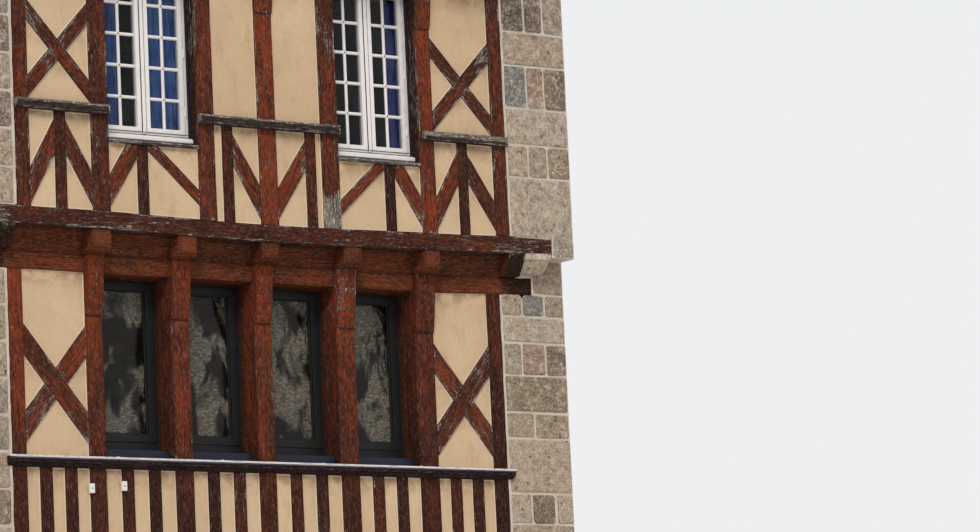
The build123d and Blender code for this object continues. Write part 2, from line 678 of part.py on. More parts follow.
def second_storey():
    """Posts with struts below the sills, two white windows and a crossed panel at each end."""
    wall, posts, foot, plate = SECOND_FRONT, SECOND_POSTS, SECOND_FOOT, SECOND_PLATE
    uprights = posts_of(wall, posts, foot, plate, SECOND_HEADS)
    frames, glass, holes = white_windows(wall, posts, SECOND_BAYS, (WINDOW_BOARD_LEVEL, plate))
    board_y = wall.band(-WINDOW_BOARD_NOSE, FRAME_DEPTH)
    board_z = (WINDOW_BOARD_LEVEL - WINDOW_BOARD, WINDOW_BOARD_LEVEL)
    boards = [block(bay(posts, index), board_y, board_z) for index in bays_with(SECOND_BAYS, "window")]
    rails = cut(second_rails(wall, posts), [uprights, boards, frames, holes])
    studs, struts = second_breast(wall, posts, foot)
    falling, rising = crosses(wall, posts, SECOND_BAYS, SECOND_CROSS, SLIM_BRACE)
    timbers = solids(uprights, rails, studs, struts, falling, rising, boards)
    panels = infill(wall, (-HALF, HALF), (foot, plate), timbers, holes)
    eaves_gap = (plate + PLATE_HEIGHT, plate + PLATE_HEIGHT + JOIST_HEIGHT)
    panels += infill(wall, (-HALF, HALF), eaves_gap, attic_joists())
    cloths, rods = curtains(wall, posts, plate)
    return {
        "second_posts": uprights,
        "second_sill_rails": rails,
        "close_studs": studs,
        "second_struts": struts,
        "falling_braces": falling,
        "rising_braces": rising,
        "front_infill": panels,
        "white_window_frames": frames,
        "white_window_glass": glass,
        "second_window_boards": boards,
        "curtains": cloths,
        "curtain_rods": rods,
    }


def curtains(wall, posts, plate):
    """Cloths behind the second floor's windows, and the rods that carry them."""
    near = WHITE_RECESS + WHITE_FRAME + CURTAIN_GAP
    centre = near + CURTAIN_DEPTH / 2
    rod_z = plate - ROD_DROP
    cloth_z = (WINDOW_BOARD_LEVEL + CURTAIN_FLOOR_GAP, rod_z - ROD_RADIUS - SEAT)
    cloths, rods = [], []
    for index in bays_with(SECOND_BAYS, "window"):
        left, right = bay(posts, index)
        shares = [share * (right - left) for share in CURTAIN_WIDTHS]
        y = wall.band(near, near + CURTAIN_DEPTH)
        cloths.append(block((left, left + shares[0]), y, cloth_z))
        cloths.append(block((right - shares[1], right), y, cloth_z))
        ends = (left - ROD_BRACKET * 2, right + ROD_BRACKET * 2)
        middle = Pos((left + right) / 2, wall.face + centre, rod_z)
        rod = middle * Cylinder(ROD_RADIUS, ends[1] - ends[0], rotation=(0, 90, 0))
        for x in ((ends[0], ends[0] + ROD_BRACKET), (ends[1] - ROD_BRACKET, ends[1])):
            arm = wall.band(FRAME_DEPTH, centre + ROD_RADIUS)
            rod += block(x, arm, (rod_z - ROD_RADIUS, rod_z + ROD_RADIUS))
        rods.append(rod)
    return cloths, rods


def back_wall():
    """Plain framed wall: the storeys of the front, with no jetties."""
    wall, posts, bays = BACK, SECOND_POSTS, SECOND_BAYS
    plain_heads = ("plain",) * len(posts)
    high_rail = WINDOW_BOARD_LEVEL + GROUND_RAIL_HEIGHT
    levels = ((GROUND_FOOT, GROUND_PLATE, GROUND_RAIL_LEVEL),
              (FIRST_FOOT, FIRST_PLATE, FIRST_RAIL_LEVEL),
              (SECOND_FOOT, SECOND_PLATE, high_rail))
    beam_y = wall.band(0, FRAME_DEPTH)
    whole = (-HALF, HALF)
    nodes = {name: [] for name in ("back_posts", "back_rails", "close_studs", "falling_braces",
                                   "rising_braces", "white_window_frames", "white_window_glass")}
    holes = []
    nodes["back_rails"].append(block(whole, beam_y, (PLINTH_HEIGHT, GROUND_FOOT)))
    clear = bay(posts, 0)
    reach = (clear[1] - clear[0]) * BACK_CROSS_RISE
    for foot, plate, rail_top in levels:
        uprights = posts_of(wall, posts, foot, plate, plain_heads)
        rail_foot = rail_top - GROUND_RAIL_HEIGHT
        sole_foot = plate + PLATE_HEIGHT + JOIST_HEIGHT
        middle = (rail_top + plate) / 2
        falling, rising = crosses(wall, posts, bays, (middle - reach, middle + reach), SLIM_BRACE)
        frames, glass, room = white_windows(wall, posts, bays, (rail_top, plate))
        nodes["back_posts"] += uprights
        nodes["back_rails"] += cut([block(whole, beam_y, (rail_foot, rail_top))], uprights)
        nodes["back_rails"].append(block(whole, beam_y, (plate, plate + PLATE_HEIGHT)))
        if plate != SECOND_PLATE:
            nodes["back_rails"].append(block(whole, beam_y, (sole_foot, sole_foot + SOLE_HEIGHT)))
        pairs, singles = bays_with(bays, "cross", "window"), bays_with(bays, "panel")
        nodes["close_studs"] += close_studs(wall, posts, pairs, (foot, rail_foot))
        nodes["close_studs"] += close_studs(wall, posts, singles, (foot, rail_foot), count=1)
        nodes["falling_braces"] += falling
        nodes["rising_braces"] += rising
        nodes["white_window_frames"] += frames
        nodes["white_window_glass"] += glass
        holes += room
    joist_ends = floor_joists() + attic_joists()
    timbers = solids(list(nodes.values()), joist_ends)
    nodes["back_infill"] = infill(wall, whole, (GROUND_FOOT, EAVES - SOLE_HEIGHT), timbers, holes)
    return nodes


# Floors and roof

def floor_joists():
    """Joists of the two upper floors, over the first floor's posts."""
    centres = [post[0] for post in FIRST_INNER_POSTS]
    return (joists(centres, FIRST_FACE, BACK_FACE, GROUND_PLATE + PLATE_HEIGHT)
            + joists(centres, SECOND_FACE, BACK_FACE, FIRST_PLATE + PLATE_HEIGHT))


def attic_joists():
    """Joists under the roof, which carry the eaves beams front and back."""
    centres = [post[0] for post in SECOND_INNER_POSTS]
    return joists(centres, SECOND_FACE - EAVES_JETTY, BACK_FACE + EAVES_JETTY, SECOND_PLATE + PLATE_HEIGHT)


def eaves_beams():
    """The beams that the rafters stand on, front and back."""
    z = (EAVES - SOLE_HEIGHT, EAVES)
    x = (-HALF, HALF)
    front = SECOND_FACE - EAVES_JETTY
    back = BACK_FACE + EAVES_JETTY
    return [block(x, (front, front + JETTY), z), block(x, (back - JETTY, back), z)]


def rafters(end):
    """Rafters of one slope, notched over the eaves beam and butted at the ridge."""
    spacing = (CLEAR_WIDTH - RAFTER_WIDTH) / RAFTER_BAYS
    eaves = DEPTH / 2 + EAVES_OVERHANG
    drop = RAFTER_DEPTH / cos(radians(ROOF_PITCH))
    outline = [(end * eaves, roof_line(eaves)), (0, roof_line(0)), (0, roof_line(0) - drop),
               (end * eaves, roof_line(eaves) - drop)]
    first = cut([section(outline, (-HALF, RAFTER_WIDTH - HALF))], eaves_beams())[0]
    return solids([Pos(number * spacing, 0, 0) * first for number in range(RAFTER_BAYS + 1)])


def roof_slope(end):
    """Boarding and slates of one slope."""
    eaves = DEPTH / 2 + EAVES_OVERHANG
    outline = [(end * eaves, roof_line(eaves)), (0, roof_line(0)), (0, roof_line(0, ROOF_SKIN)),
               (end * eaves, roof_line(eaves, ROOF_SKIN))]
    return section(outline, (-HALF, HALF))


def ridge_tiles():
    """Half round tiles along the ridge, bedded on both slopes."""
    apex = roof_line(0, ROOF_SKIN)
    whole = Pos(0, 0, apex - RIDGE_RADIUS * RIDGE_BED) * Cylinder(RIDGE_RADIUS, CLEAR_WIDTH,
                                                                  rotation=(0, 90, 0))
    low = roof_line(DEPTH, ROOF_SKIN)
    length = (-HALF - CUT_MARGIN, HALF + CUT_MARGIN)
    below = section([(-DEPTH, low), (0, apex), (DEPTH, low)], length)
    return cut([whole], [below])


def merge(nodes, more):
    """Add the pieces of more to the nodes of the same names."""
    for name, pieces in more.items():
        nodes[name] = nodes.get(name, []) + solids(pieces)


def build():
    nodes = {}
    for part in (ground_storey(), first_storey(), second_storey(), back_wall()):
        merge(nodes, part)
    centres = [post[0] for post in FIRST_INNER_POSTS]
    first_level, second_level = GROUND_PLATE + PLATE_HEIGHT, FIRST_PLATE + PLATE_HEIGHT
    plates = [beam(GROUND_FRONT, (GROUND_PLATE, first_level), FRAME_DEPTH, PLATE_BEARING),
              beam(FIRST_FRONT, (FIRST_PLATE, second_level), FRAME_DEPTH, PLATE_BEARING),
              beam(SECOND_FRONT, (SECOND_PLATE, SECOND_PLATE + PLATE_HEIGHT), FRAME_DEPTH, 0)]
    soles = [beam(FIRST_FRONT, (FIRST_FOOT - SOLE_HEIGHT, FIRST_FOOT), JETTY, SOLE_BEARING),
             beam(SECOND_FRONT, (SECOND_FOOT - SOLE_HEIGHT, SECOND_FOOT), JETTY, SOLE_BEARING)]
    bolsters = [bolster(side, face, level) for side in (-1, 1)
                for face, level in ((FIRST_FACE, first_level), (SECOND_FACE, second_level))]
    slab_y = (GROUND_FACE + FRAME_DEPTH, BACK_FACE - FRAME_DEPTH)
    merge(nodes, {
        "wall_plates": plates,
        "oversailing_beams": soles + eaves_beams(),
        "floor_joists": floor_joists() + attic_joists() + bolsters,
        "jetty_boards": (jetty_boards(centres, FIRST_FACE, first_level)
                         + jetty_boards(centres, SECOND_FACE, second_level)),
        "floor_boards": [floor_boards(FIRST_FACE, first_level + JOIST_HEIGHT),
                         floor_boards(SECOND_FACE, second_level + JOIST_HEIGHT),
                         floor_boards(SECOND_FACE - EAVES_JETTY, EAVES - SOLE_HEIGHT)],
        "ground_floor_slab": [block((-HALF, HALF), slab_y, (0, SLAB_THICKNESS))],
        "granite_plinths": [block((-HALF, HALF), BACK.band(0, FRAME_DEPTH), (0, PLINTH_HEIGHT))],
        "front_rafters": rafters(-1),
        "back_rafters": rafters(1),
        "front_roof_slope": [roof_slope(-1)],
        "back_roof_slope": [roof_slope(1)],
        "ridge_tiles": ridge_tiles(),
        "gable_copings": [coping(side, end) for side in (-1, 1) for end in (-1, 1)],
        "corbel_stones": [corbel(side, face, foot - SOLE_HEIGHT) for side in (-1, 1)
                          for face, foot in ((FIRST_FACE, FIRST_FOOT), (SECOND_FACE, SECOND_FOOT))],
        "left_party_wall": cut([party_wall(-1)], plates + soles + bolsters),
        "right_party_wall": cut([party_wall(1)], plates + soles + bolsters),
        "chimney_stacks": [chimney(side) for side in (-1, 1)],
        "chimney_pots": pots(-1) + pots(1),
    })
    return nodes


def main():
    os.makedirs("parts", exist_ok=True)
    nodes = build()
    for name, pieces in nodes.items():
        whole = pieces[0] if len(pieces) == 1 else Compound(children=pieces)
        export_step(whole, f"parts/{name}.step")
        print(name, len(pieces), "solids")
    print(len(nodes), "nodes")


if __name__ == "__main__":
    main()
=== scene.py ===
# %% [markdown]
# Half timbered town house
#
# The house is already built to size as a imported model. This lesson dresses it: the oak gets its
# hewn edges and flaking red paint, the walls their granite, the roof its slates and the windows
# their bars and curtains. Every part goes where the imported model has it.

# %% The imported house
import random
from math import cos, pi, radians, sin, tan

import bmesh
import bpy
import numpy as np
from mathutils import Matrix, Vector, noise


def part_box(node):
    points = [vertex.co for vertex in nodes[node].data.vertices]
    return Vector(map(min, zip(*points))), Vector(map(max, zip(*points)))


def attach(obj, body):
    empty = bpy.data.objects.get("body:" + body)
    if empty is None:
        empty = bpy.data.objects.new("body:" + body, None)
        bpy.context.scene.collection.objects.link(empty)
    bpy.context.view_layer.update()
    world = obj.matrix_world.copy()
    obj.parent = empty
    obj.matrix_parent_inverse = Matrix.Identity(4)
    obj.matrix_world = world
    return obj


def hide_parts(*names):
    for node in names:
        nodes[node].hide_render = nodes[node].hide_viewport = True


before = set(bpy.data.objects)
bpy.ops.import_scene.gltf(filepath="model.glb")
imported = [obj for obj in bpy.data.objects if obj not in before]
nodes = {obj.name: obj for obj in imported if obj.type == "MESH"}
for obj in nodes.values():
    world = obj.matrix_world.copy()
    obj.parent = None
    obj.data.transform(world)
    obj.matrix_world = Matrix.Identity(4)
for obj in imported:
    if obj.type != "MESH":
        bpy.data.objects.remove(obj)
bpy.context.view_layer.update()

# %% [markdown]
# The camera comes first, because every finish is judged through it. The street is narrow, so the
# picture was taken from far to the left and looks up. Its heading, climb and small roll come from
# the vanishing points of the level rails and the upright posts. A long lens keeps the lines nearly
# parallel.

# %% Camera
CAMERA_PLACE = (-19.278, -33.626, 0.348)
HEADING, CLIMB, ROLL = radians(35.57), radians(9.03), radians(-2.75)
LENS = 155.26
SENSOR = 36

camera_data = bpy.data.cameras.new("street_camera")
camera_data.lens = LENS
camera_data.sensor_width = SENSOR
camera_data.sensor_fit = "HORIZONTAL"
camera_data.clip_end = 2000
camera = bpy.data.objects.new("street_camera", camera_data)
bpy.context.scene.collection.objects.link(camera)
turned = Matrix.Rotation(-HEADING, 4, "Z")
raised = Matrix.Rotation(pi / 2 + CLIMB, 4, "X")
rolled = Matrix.Rotation(ROLL, 4, "Z")
camera.matrix_world = Matrix.Translation(CAMERA_PLACE) @ (turned @ raised @ rolled)
bpy.context.scene.camera = camera
print("camera", tuple(round(v, 2) for v in camera.location))

# %% [markdown]
# A plain pale floor and an even sky make a studio of the open air. The sky gives most of the light,
# and one broad soft lamp from high on the left draws the shadows under the jetties. A picture of a
# real sky would bring its own colours along, so the world stays one plain tone.

# %% Floor, lamp and world
FLOOR_RADIUS = 900
FLOOR_SIDES = 64
FLOOR_LEVEL = -0.002        # just under the house, so that the two don't share a plane
SUN_LIGHT = 1.75
SUN_SPREAD = radians(22)
SUN_FROM = Vector((-0.52, -0.72, 0.86))

rim = [2 * pi * corner / FLOOR_SIDES for corner in range(FLOOR_SIDES)]
floor_mesh = bpy.data.meshes.new("floor")
floor_mesh.from_pydata([(FLOOR_RADIUS * cos(a), FLOOR_RADIUS * sin(a), FLOOR_LEVEL) for a in rim],
                       [], [tuple(range(FLOOR_SIDES))])
floor = bpy.data.objects.new("floor", floor_mesh)
bpy.context.scene.collection.objects.link(floor)

sun_data = bpy.data.lights.new("high_lamp", "SUN")
sun_data.energy = SUN_LIGHT
sun_data.angle = SUN_SPREAD
sun_data.color = (1.0, 0.97, 0.93)
sun = bpy.data.objects.new("high_lamp", sun_data)
sun.matrix_world = SUN_FROM.to_track_quat("Z", "Y").to_matrix().to_4x4()
bpy.context.scene.collection.objects.link(sun)

world = bpy.data.worlds.new("sky")
world.use_nodes = True
bpy.context.scene.world = world
bpy.context.scene.view_settings.view_transform = "Standard"
print("floor, lamp and world ready")


# %% [markdown]
# A finish is a graph of nodes. Joined by hand, each node takes a line to make it and one for every
# input. The class below adds a node in one line: a plain value is written on the socket, and
# another node's output is joined to it. That keeps each recipe as short as the finish it describes.

# %% Colours, and joining nodes
def rgb(red, green, blue):
    """A screen colour of 0 to 255, as the linear colour that shaders work in."""
    return tuple((c / 255 / 12.92) if c < 11 else ((c / 255 + 0.055) / 1.055) ** 2.4
                 for c in (red, green, blue)) + (1.0,)


class Graph:
    """A tree of nodes while it is being joined up."""

    def __init__(self, tree):
        self.tree = tree

    def give(self, socket, value):
        """Write a value on a socket, or join another node's output to it."""
        if isinstance(value, bpy.types.NodeSocket):
            self.tree.links.new(value, socket)
        else:
            socket.default_value = value

    def node(self, kind, inputs=None, **settings):
        """A new node with its settings, and its inputs by name or number."""
        made = self.tree.nodes.new(kind)
        for key, value in settings.items():
            setattr(made, key, value)
        for key, value in (inputs or {}).items():
            self.give(made.inputs[key], value)
        return made

    def maths(self, operation, a, b=0.0, clamp=False):
        made = self.node("ShaderNodeMath", {0: a, 1: b}, operation=operation, use_clamp=clamp)
        return made.outputs[0]

    def vectors(self, operation, a, b):
        return self.node("ShaderNodeVectorMath", {0: a, 1: b}, operation=operation).outputs[0]

    def times(self, a, b, clamp=False):
        return self.maths("MULTIPLY", a, b, clamp)

    def plus(self, first, *others):
        """The sum of two or more values."""
        for other in others:
            first = self.maths("ADD", first, other)
        return first


print("grey of 128 is", round(rgb(128, 128, 128)[0], 3), "in linear light")

# %% [markdown]
# The sky is the smallest graph. Light from a real sky falls on the house at a plain level, while the
# camera, and whatever mirrors or lets through the sky, should see it nearly white. Light Path tells
# the two apart, so no more light is needed on the house to make the background pale.

# %% Sky
SKY_LIGHT = 0.62
SKY_COLOUR = (0.93, 0.96, 1.0, 1)
SEEN_SKY = rgb(238, 239, 240)


def mix_sky():
    """A sky that lights evenly, and looks paler to the camera, in mirrors and through glass."""
    sky = Graph(world.node_tree)
    sky.tree.nodes.clear()
    path = sky.node("ShaderNodeLightPath").outputs
    seen = path["Is Camera Ray"]
    for ray in ("Is Glossy Ray", "Is Transmission Ray"):
        seen = sky.maths("MAXIMUM", seen, path[ray])
    light = sky.node("ShaderNodeBackground", {"Color": SKY_COLOUR, "Strength": SKY_LIGHT})
    shown = sky.node("ShaderNodeBackground", {"Color": SEEN_SKY, "Strength": 1.0})
    both = sky.node("ShaderNodeMixShader", {0: seen, 1: light.outputs[0], 2: shown.outputs[0]})
    sky.node("ShaderNodeOutputWorld", {"Surface": both.outputs[0]})
    return sky


print("sky of", len(mix_sky().tree.nodes), "nodes")


# %% [markdown]
# Every finish of the house is a recipe on one surface shader. Most are built from two things: noise,
# plain or drawn out into streaks, and coats of one colour over another wherever such a pattern is
# strong. Pictures of real walls would be quicker to fetch, and they would stretch and repeat on so
# many shapes. A recipe fits them all.

# %% A recipe for a finish
class Recipe(Graph):
    """A material while it is being mixed."""

    def __init__(self, name):
        self.material = bpy.data.materials.new(name)
        self.material.use_nodes = True
        super().__init__(self.material.node_tree)
        self.surface = self.tree.nodes["Principled BSDF"]
        self.place = self.node("ShaderNodeTexCoord").outputs["Object"]

    def noise(self, vector, scale, detail=3.0, rough=0.5, twist=0.0):
        made = self.node("ShaderNodeTexNoise", {"Vector": vector, "Scale": scale, "Detail": detail,
                                                "Roughness": rough, "Distortion": twist})
        return made.outputs["Fac"]

    def streaks(self, vector, squeeze, scale, detail, rough, twist=0.0, turn=(0, 0, 0)):
        """Noise that is squeezed by a factor on each axis, and so drawn out along the others."""
        made = self.node("ShaderNodeMapping", {"Vector": vector, "Scale": squeeze, "Rotation": turn})
        return self.noise(made.outputs["Vector"], scale, detail, rough, twist)

    def attribute(self, name, output="Vector"):
        return self.node("ShaderNodeAttribute", attribute_name=name).outputs[output]

    def split(self, vector):
        return self.node("ShaderNodeSeparateXYZ", {"Vector": vector}).outputs

    def between(self, value, low, high, start=0.0, end=1.0):
        """Smooth step from low to high."""
        made = self.node("ShaderNodeMapRange", {"Value": value, "From Min": low, "From Max": high,
                                                "To Min": start, "To Max": end},
                         interpolation_type="SMOOTHSTEP")
        return made.outputs["Result"]

    def ramp(self, fac, *stops):
        """Colours along 0 to 1, given as (place, colour) pairs."""
        made = self.node("ShaderNodeValToRGB", {"Fac": fac})
        points = made.color_ramp.elements
        while len(points) < len(stops):
            points.new(0.5)
        for point, (place, colour) in zip(points, stops):
            point.position = place
            point.color = colour
        return made.outputs["Color"]

    def mix(self, share, a, b):
        return self.node("ShaderNodeMix", {0: share, 6: a, 7: b}, data_type="RGBA").outputs[2]

    def coat(self, colour, coat, cover, share):
        """Lay a coat over a colour, as dense as share where cover is full."""
        return self.mix(self.times(cover, share), colour, coat)

    def spots(self, colour, coat, pattern, low, high, share):
        """Lay a coat where a pattern has passed from low to high."""
        return self.mix(self.between(pattern, low, high, 0, share), colour, coat)

    def set(self, **sockets):
        """Write the surface's sockets, with _ for a space in their names."""
        for name, value in sockets.items():
            self.give(self.surface.inputs[name.replace("_", " ")], value)

    def bump(self, height, distance):
        made = self.node("ShaderNodeBump", {"Height": height, "Distance": distance, "Strength": 1.0})
        self.tree.links.new(made.outputs["Normal"], self.surface.inputs["Normal"])


floor_finish = Recipe("pale_floor")
floor_finish.set(Base_Color=rgb(214, 213, 210), Roughness=0.9)
floor.data.materials.append(floor_finish.material)
print("floor painted")


# %% [markdown]
# The oak was painted red brown long ago. Sun has turned some timbers orange, others stayed nearly
# black, and along the edges the paint has come off in flakes down to grey wood. A picture would
# slide or blur, so the recipe reads three things from each timber's own mesh: where a point lies
# along and across the grain, how near it is to an edge, and a tone that differs from timber to
# timber.

# %% Paint on oak
# The dark brown laid on patches along the timbers' edges.
DARK_EDGE_COLOUR = rgb(30, 19, 17)
SPLIT = rgb(20, 12, 11)
OLD_WOOD = rgb(46, 38, 36)
SILVER_WOOD = rgb(146, 137, 130)
WHITEWASH = rgb(206, 194, 180)


def paint_on_oak(name, dark, middle, bright, bare=rgb(112, 103, 97), flaking=0.0, edge_wear_and_highlight=0.085):
    """Old paint on hewn oak. Flaking moves the line between paint and bare wood."""
    r = Recipe(name)
    grain = r.attribute("grain")
    edge, tone, loss = r.split(r.attribute("look"))
    fibre = r.streaks(grain, (1.6, 46, 46), 2.2, 5, 0.62)
    cloud = r.streaks(grain, (1.0, 3.0, 3.0), 1.9, 3, 0.6)
    mottle = r.streaks(grain, (4.0, 10, 10), 3.4, 5, 0.72, 0.3)
    shade = r.plus(cloud, r.times(mottle, 1.5), r.times(fibre, 0.4), r.times(tone, 0.65))
    colour = r.ramp(r.between(shade, 1.15, 2.3), (0.0, dark), (0.5, middle), (1.0, bright))
    # Patches along each timber's edges are darker.
    patches = r.times(edge, r.between(mottle, 0.35, 0.6, 0.25, 0.85))
    colour = r.coat(colour, DARK_EDGE_COLOUR, patches, 0.55)
    fleck = r.streaks(grain, (9, 60, 60), 2.4, 4, 0.8)
    colour = r.spots(colour, rgb(186, 158, 138), fleck, 0.54, 0.66, 0.28)
    colour = r.spots(colour, rgb(24, 15, 13), fleck, 0.46, 0.36, 0.55)

    line = r.streaks(grain, (0.7, 26, 26), 1.6, 2, 0.4)
    crack = r.ramp(line, (0.480, (0, 0, 0, 1)), (0.496, (1, 1, 1, 1)), (0.512, (0, 0, 0, 1)))
    crack = r.times(crack, r.between(cloud, 0.42, 0.6))
    colour = r.coat(colour, SPLIT, crack, 0.85)

    patch = r.streaks(grain, (2.6, 19, 19), 3.4, 7, 0.78, 0.2)
    group = r.streaks(grain, (1.0, 2.0, 2.0), 2.6, 2, 0.5)
    gathered = r.times(r.maths("SUBTRACT", group, 0.5), 0.34)
    # Edges lose more paint than faces; on the weathered oak this also makes a painted highlight along them.
    worn = r.plus(patch, r.times(edge, edge_wear_and_highlight), r.times(loss, 0.13), gathered)
    worn = r.between(worn, 0.650 - flaking, 0.70 - flaking)
    wood = r.ramp(fibre, (0.38, OLD_WOOD), (0.52, bare), (0.68, SILVER_WOOD))
    chalk = r.between(r.streaks(grain, (9, 34, 34), 3.0, 5, 0.7), 0.53, 0.60)
    wood = r.coat(wood, WHITEWASH, chalk, 0.8)
    colour = r.coat(colour, wood, worn, 0.92)

    height = r.maths("SUBTRACT", r.times(fibre, 0.35), r.times(crack, 0.8))
    height = r.maths("SUBTRACT", height, r.times(worn, 0.45))
    r.set(Base_Color=colour, Roughness=r.between(mottle, 0.3, 0.7, 0.6, 0.85), Specular_IOR_Level=0.05)
    r.bump(height, 0.0035)
    return r.material


RED_OAK = paint_on_oak("red_painted_oak", rgb(44, 25, 21), rgb(80, 40, 28), rgb(138, 60, 33))
BROWN_OAK = paint_on_oak("brown_painted_oak", rgb(42, 25, 18), rgb(78, 41, 26), rgb(122, 60, 34),
                         flaking=-0.04)
# The weathered oak goes paler along its edges: worn paint, and a painted highlight where the rails' upper
# edges catch the light.
GREY_OAK = paint_on_oak("weathered_oak", rgb(36, 30, 30), rgb(58, 48, 45), rgb(92, 80, 74),
                        flaking=-0.03, edge_wear_and_highlight=0.16)
NAVY_OAK = paint_on_oak("dark_rail_paint", rgb(28, 22, 27), rgb(46, 31, 35), rgb(72, 44, 42),
                        flaking=-0.07)
DEAL = paint_on_oak("deal_boards", rgb(120, 88, 58), rgb(158, 120, 82), rgb(190, 152, 108),
                    bare=rgb(170, 140, 104), flaking=-0.15)
print("oak mixed from", len(RED_OAK.node_tree.nodes), "nodes")


# %% [markdown]
# Lime plaster is matt and a little uneven. It is cream, and darker towards the head of each panel: partly a
# stain where rain runs off the rails, partly a painted shadow under them. It has a pale fillet pressed into
# the corner against every timber. The fillet is in the mesh, and the recipe lightens it, partly for its own
# lime and partly as a painted highlight: a mask on the mesh follows each panel, which noise alone couldn't
# do.

# %% Plaster
def lime_plaster():
    r = Recipe("cream_plaster")
    edge, head = r.split(r.attribute("look"))[:2]
    cloud = r.noise(r.place, 1.3, 4, 0.6)
    colour = r.ramp(cloud, (0.3, rgb(203, 172, 138)), (0.55, rgb(214, 184, 149)), (0.75, rgb(224, 197, 160)))
    stain = r.streaks(r.place, (3.5, 3.5, 1.6), 2.2, 5, 0.65)
    colour = r.spots(colour, rgb(186, 152, 114), stain, 0.54, 0.70, 0.4)
    blot = r.noise(r.place, 7, 4, 0.6, 0.4)
    # Darker near the head of each panel: a stain, and a painted shadow under the rail.
    stain_and_shade = r.times(head, r.between(blot, 0.40, 0.60, 0.1, 1.0))
    colour = r.coat(colour, rgb(142, 110, 76), stain_and_shade, 0.75)
    sand = r.noise(r.place, 55, 4, 0.7)
    colour = r.spots(colour, rgb(148, 120, 90), sand, 0.3, 0.7, 0.16)
    # The fillet is paler: its own lime, and a painted highlight along it.
    colour = r.coat(colour, rgb(236, 220, 196), edge, 0.62)
    trowel = r.noise(r.place, 6, 3, 0.55, 0.6)
    r.set(Base_Color=colour, Roughness=0.92, Specular_IOR_Level=0.15)
    r.bump(r.plus(r.times(sand, 0.3), trowel), 0.006)
    return r.material


PLASTER = lime_plaster()
print("plaster mixed from", len(PLASTER.node_tree.nodes), "nodes")


# %% [markdown]
# Granite is a sprinkle of grains of different minerals, so its speckle has several sizes, from
# blotches as wide as a hand down to single grains. Weather has opened small pits in it. The base
# colour comes from each stone's own attribute, because no two stones of the wall are alike. Mortar
# is paler and only sandy.

# %% Granite and mortar
def granite(name, base=None):
    """Granite whose colour comes from each stone, or from base where there is one."""
    r = Recipe(name)
    colour = base or r.attribute("stone", "Color")
    cloud = r.noise(r.place, 5, 3, 0.6)
    blotch = r.noise(r.place, 17, 5, 0.78)
    grain = r.noise(r.place, 52, 5, 0.85)
    fine = r.noise(r.place, 120, 3, 0.75)
    for coat, pattern, low, high, share in (
            (rgb(188, 162, 136), cloud, 0.35, 0.70, 0.40),
            (rgb(90, 77, 66), blotch, 0.52, 0.64, 0.62),
            (rgb(226, 213, 197), blotch, 0.47, 0.36, 0.50),
            (rgb(84, 72, 62), grain, 0.52, 0.62, 0.60),
            (rgb(230, 217, 200), grain, 0.48, 0.37, 0.65),
            (rgb(64, 56, 50), fine, 0.55, 0.65, 0.65)):
        colour = r.spots(colour, coat, pattern, low, high, share)

    stray = r.node("ShaderNodeTexNoise", {"Vector": r.place, "Scale": 26, "Detail": 3}).outputs["Color"]
    near = r.vectors("ADD", r.place, r.vectors("MULTIPLY", stray, (0.07, 0.07, 0.07)))
    pore = r.node("ShaderNodeTexVoronoi", {"Vector": near, "Scale": 12}).outputs["Distance"]
    pit = r.times(r.between(pore, 0.20, 0.08), r.between(cloud, 0.48, 0.60))
    colour = r.coat(colour, rgb(54, 46, 40), pit, 0.7)
    height = r.plus(r.times(grain, 0.8), r.times(cloud, 1.4))
    r.set(Base_Color=colour, Roughness=0.88, Specular_IOR_Level=0.12)
    r.bump(r.maths("SUBTRACT", height, r.times(pit, 1.5)), 0.010)
    return r.material


def lime_mortar():
    r = Recipe("lime_mortar")
    sand = r.noise(r.place, 90, 4, 0.7)
    cloud = r.noise(r.place, 4, 4, 0.6)
    colour = r.ramp(cloud, (0.3, rgb(192, 178, 160)), (0.6, rgb(216, 204, 188)), (0.8, rgb(230, 220, 206)))
    colour = r.spots(colour, rgb(138, 122, 104), sand, 0.5, 0.7, 0.5)
    r.set(Base_Color=colour, Roughness=0.95, Specular_IOR_Level=0.12)
    r.bump(r.plus(sand, r.times(cloud, 2)), 0.006)
    return r.material


GRANITE = granite("coursed_granite")
CUT_GRANITE = granite("cut_granite", rgb(158, 148, 134))
PALE_GRANITE = granite("pale_granite", rgb(206, 186, 160))
MORTAR = lime_mortar()
print("granite mixed from", len(GRANITE.node_tree.nodes), "nodes")


# %% [markdown]
# Slates split from one block are still never one colour, and red clay tiles fire unevenly. A random
# shade is kept on each slate and tile, and the recipes read it. Lichen and moss then grow across
# several of them, as noise in the house's own coordinates.

# %% Slate and clay
def slate():
    r = Recipe("split_slate")
    shade = r.attribute("shade", "Fac")
    cloud = r.noise(r.place, 1.1, 4, 0.6)
    leaf = r.streaks(r.place, (9, 2, 2), 5, 5, 0.65)
    colour = r.ramp(r.plus(r.times(shade, 0.7), r.times(leaf, 0.35)),
                    (0.1, rgb(56, 60, 68)), (0.5, rgb(78, 82, 90)), (0.95, rgb(108, 110, 114)))
    lichen = r.between(r.noise(r.place, 14, 5, 0.7), 0.62, 0.70)
    lichen = r.times(lichen, r.between(cloud, 0.45, 0.65))
    colour = r.coat(colour, rgb(150, 142, 104), lichen, 0.6)
    r.set(Base_Color=colour, Roughness=r.between(leaf, 0.3, 0.7, 0.42, 0.68))
    r.bump(leaf, 0.004)
    return r.material


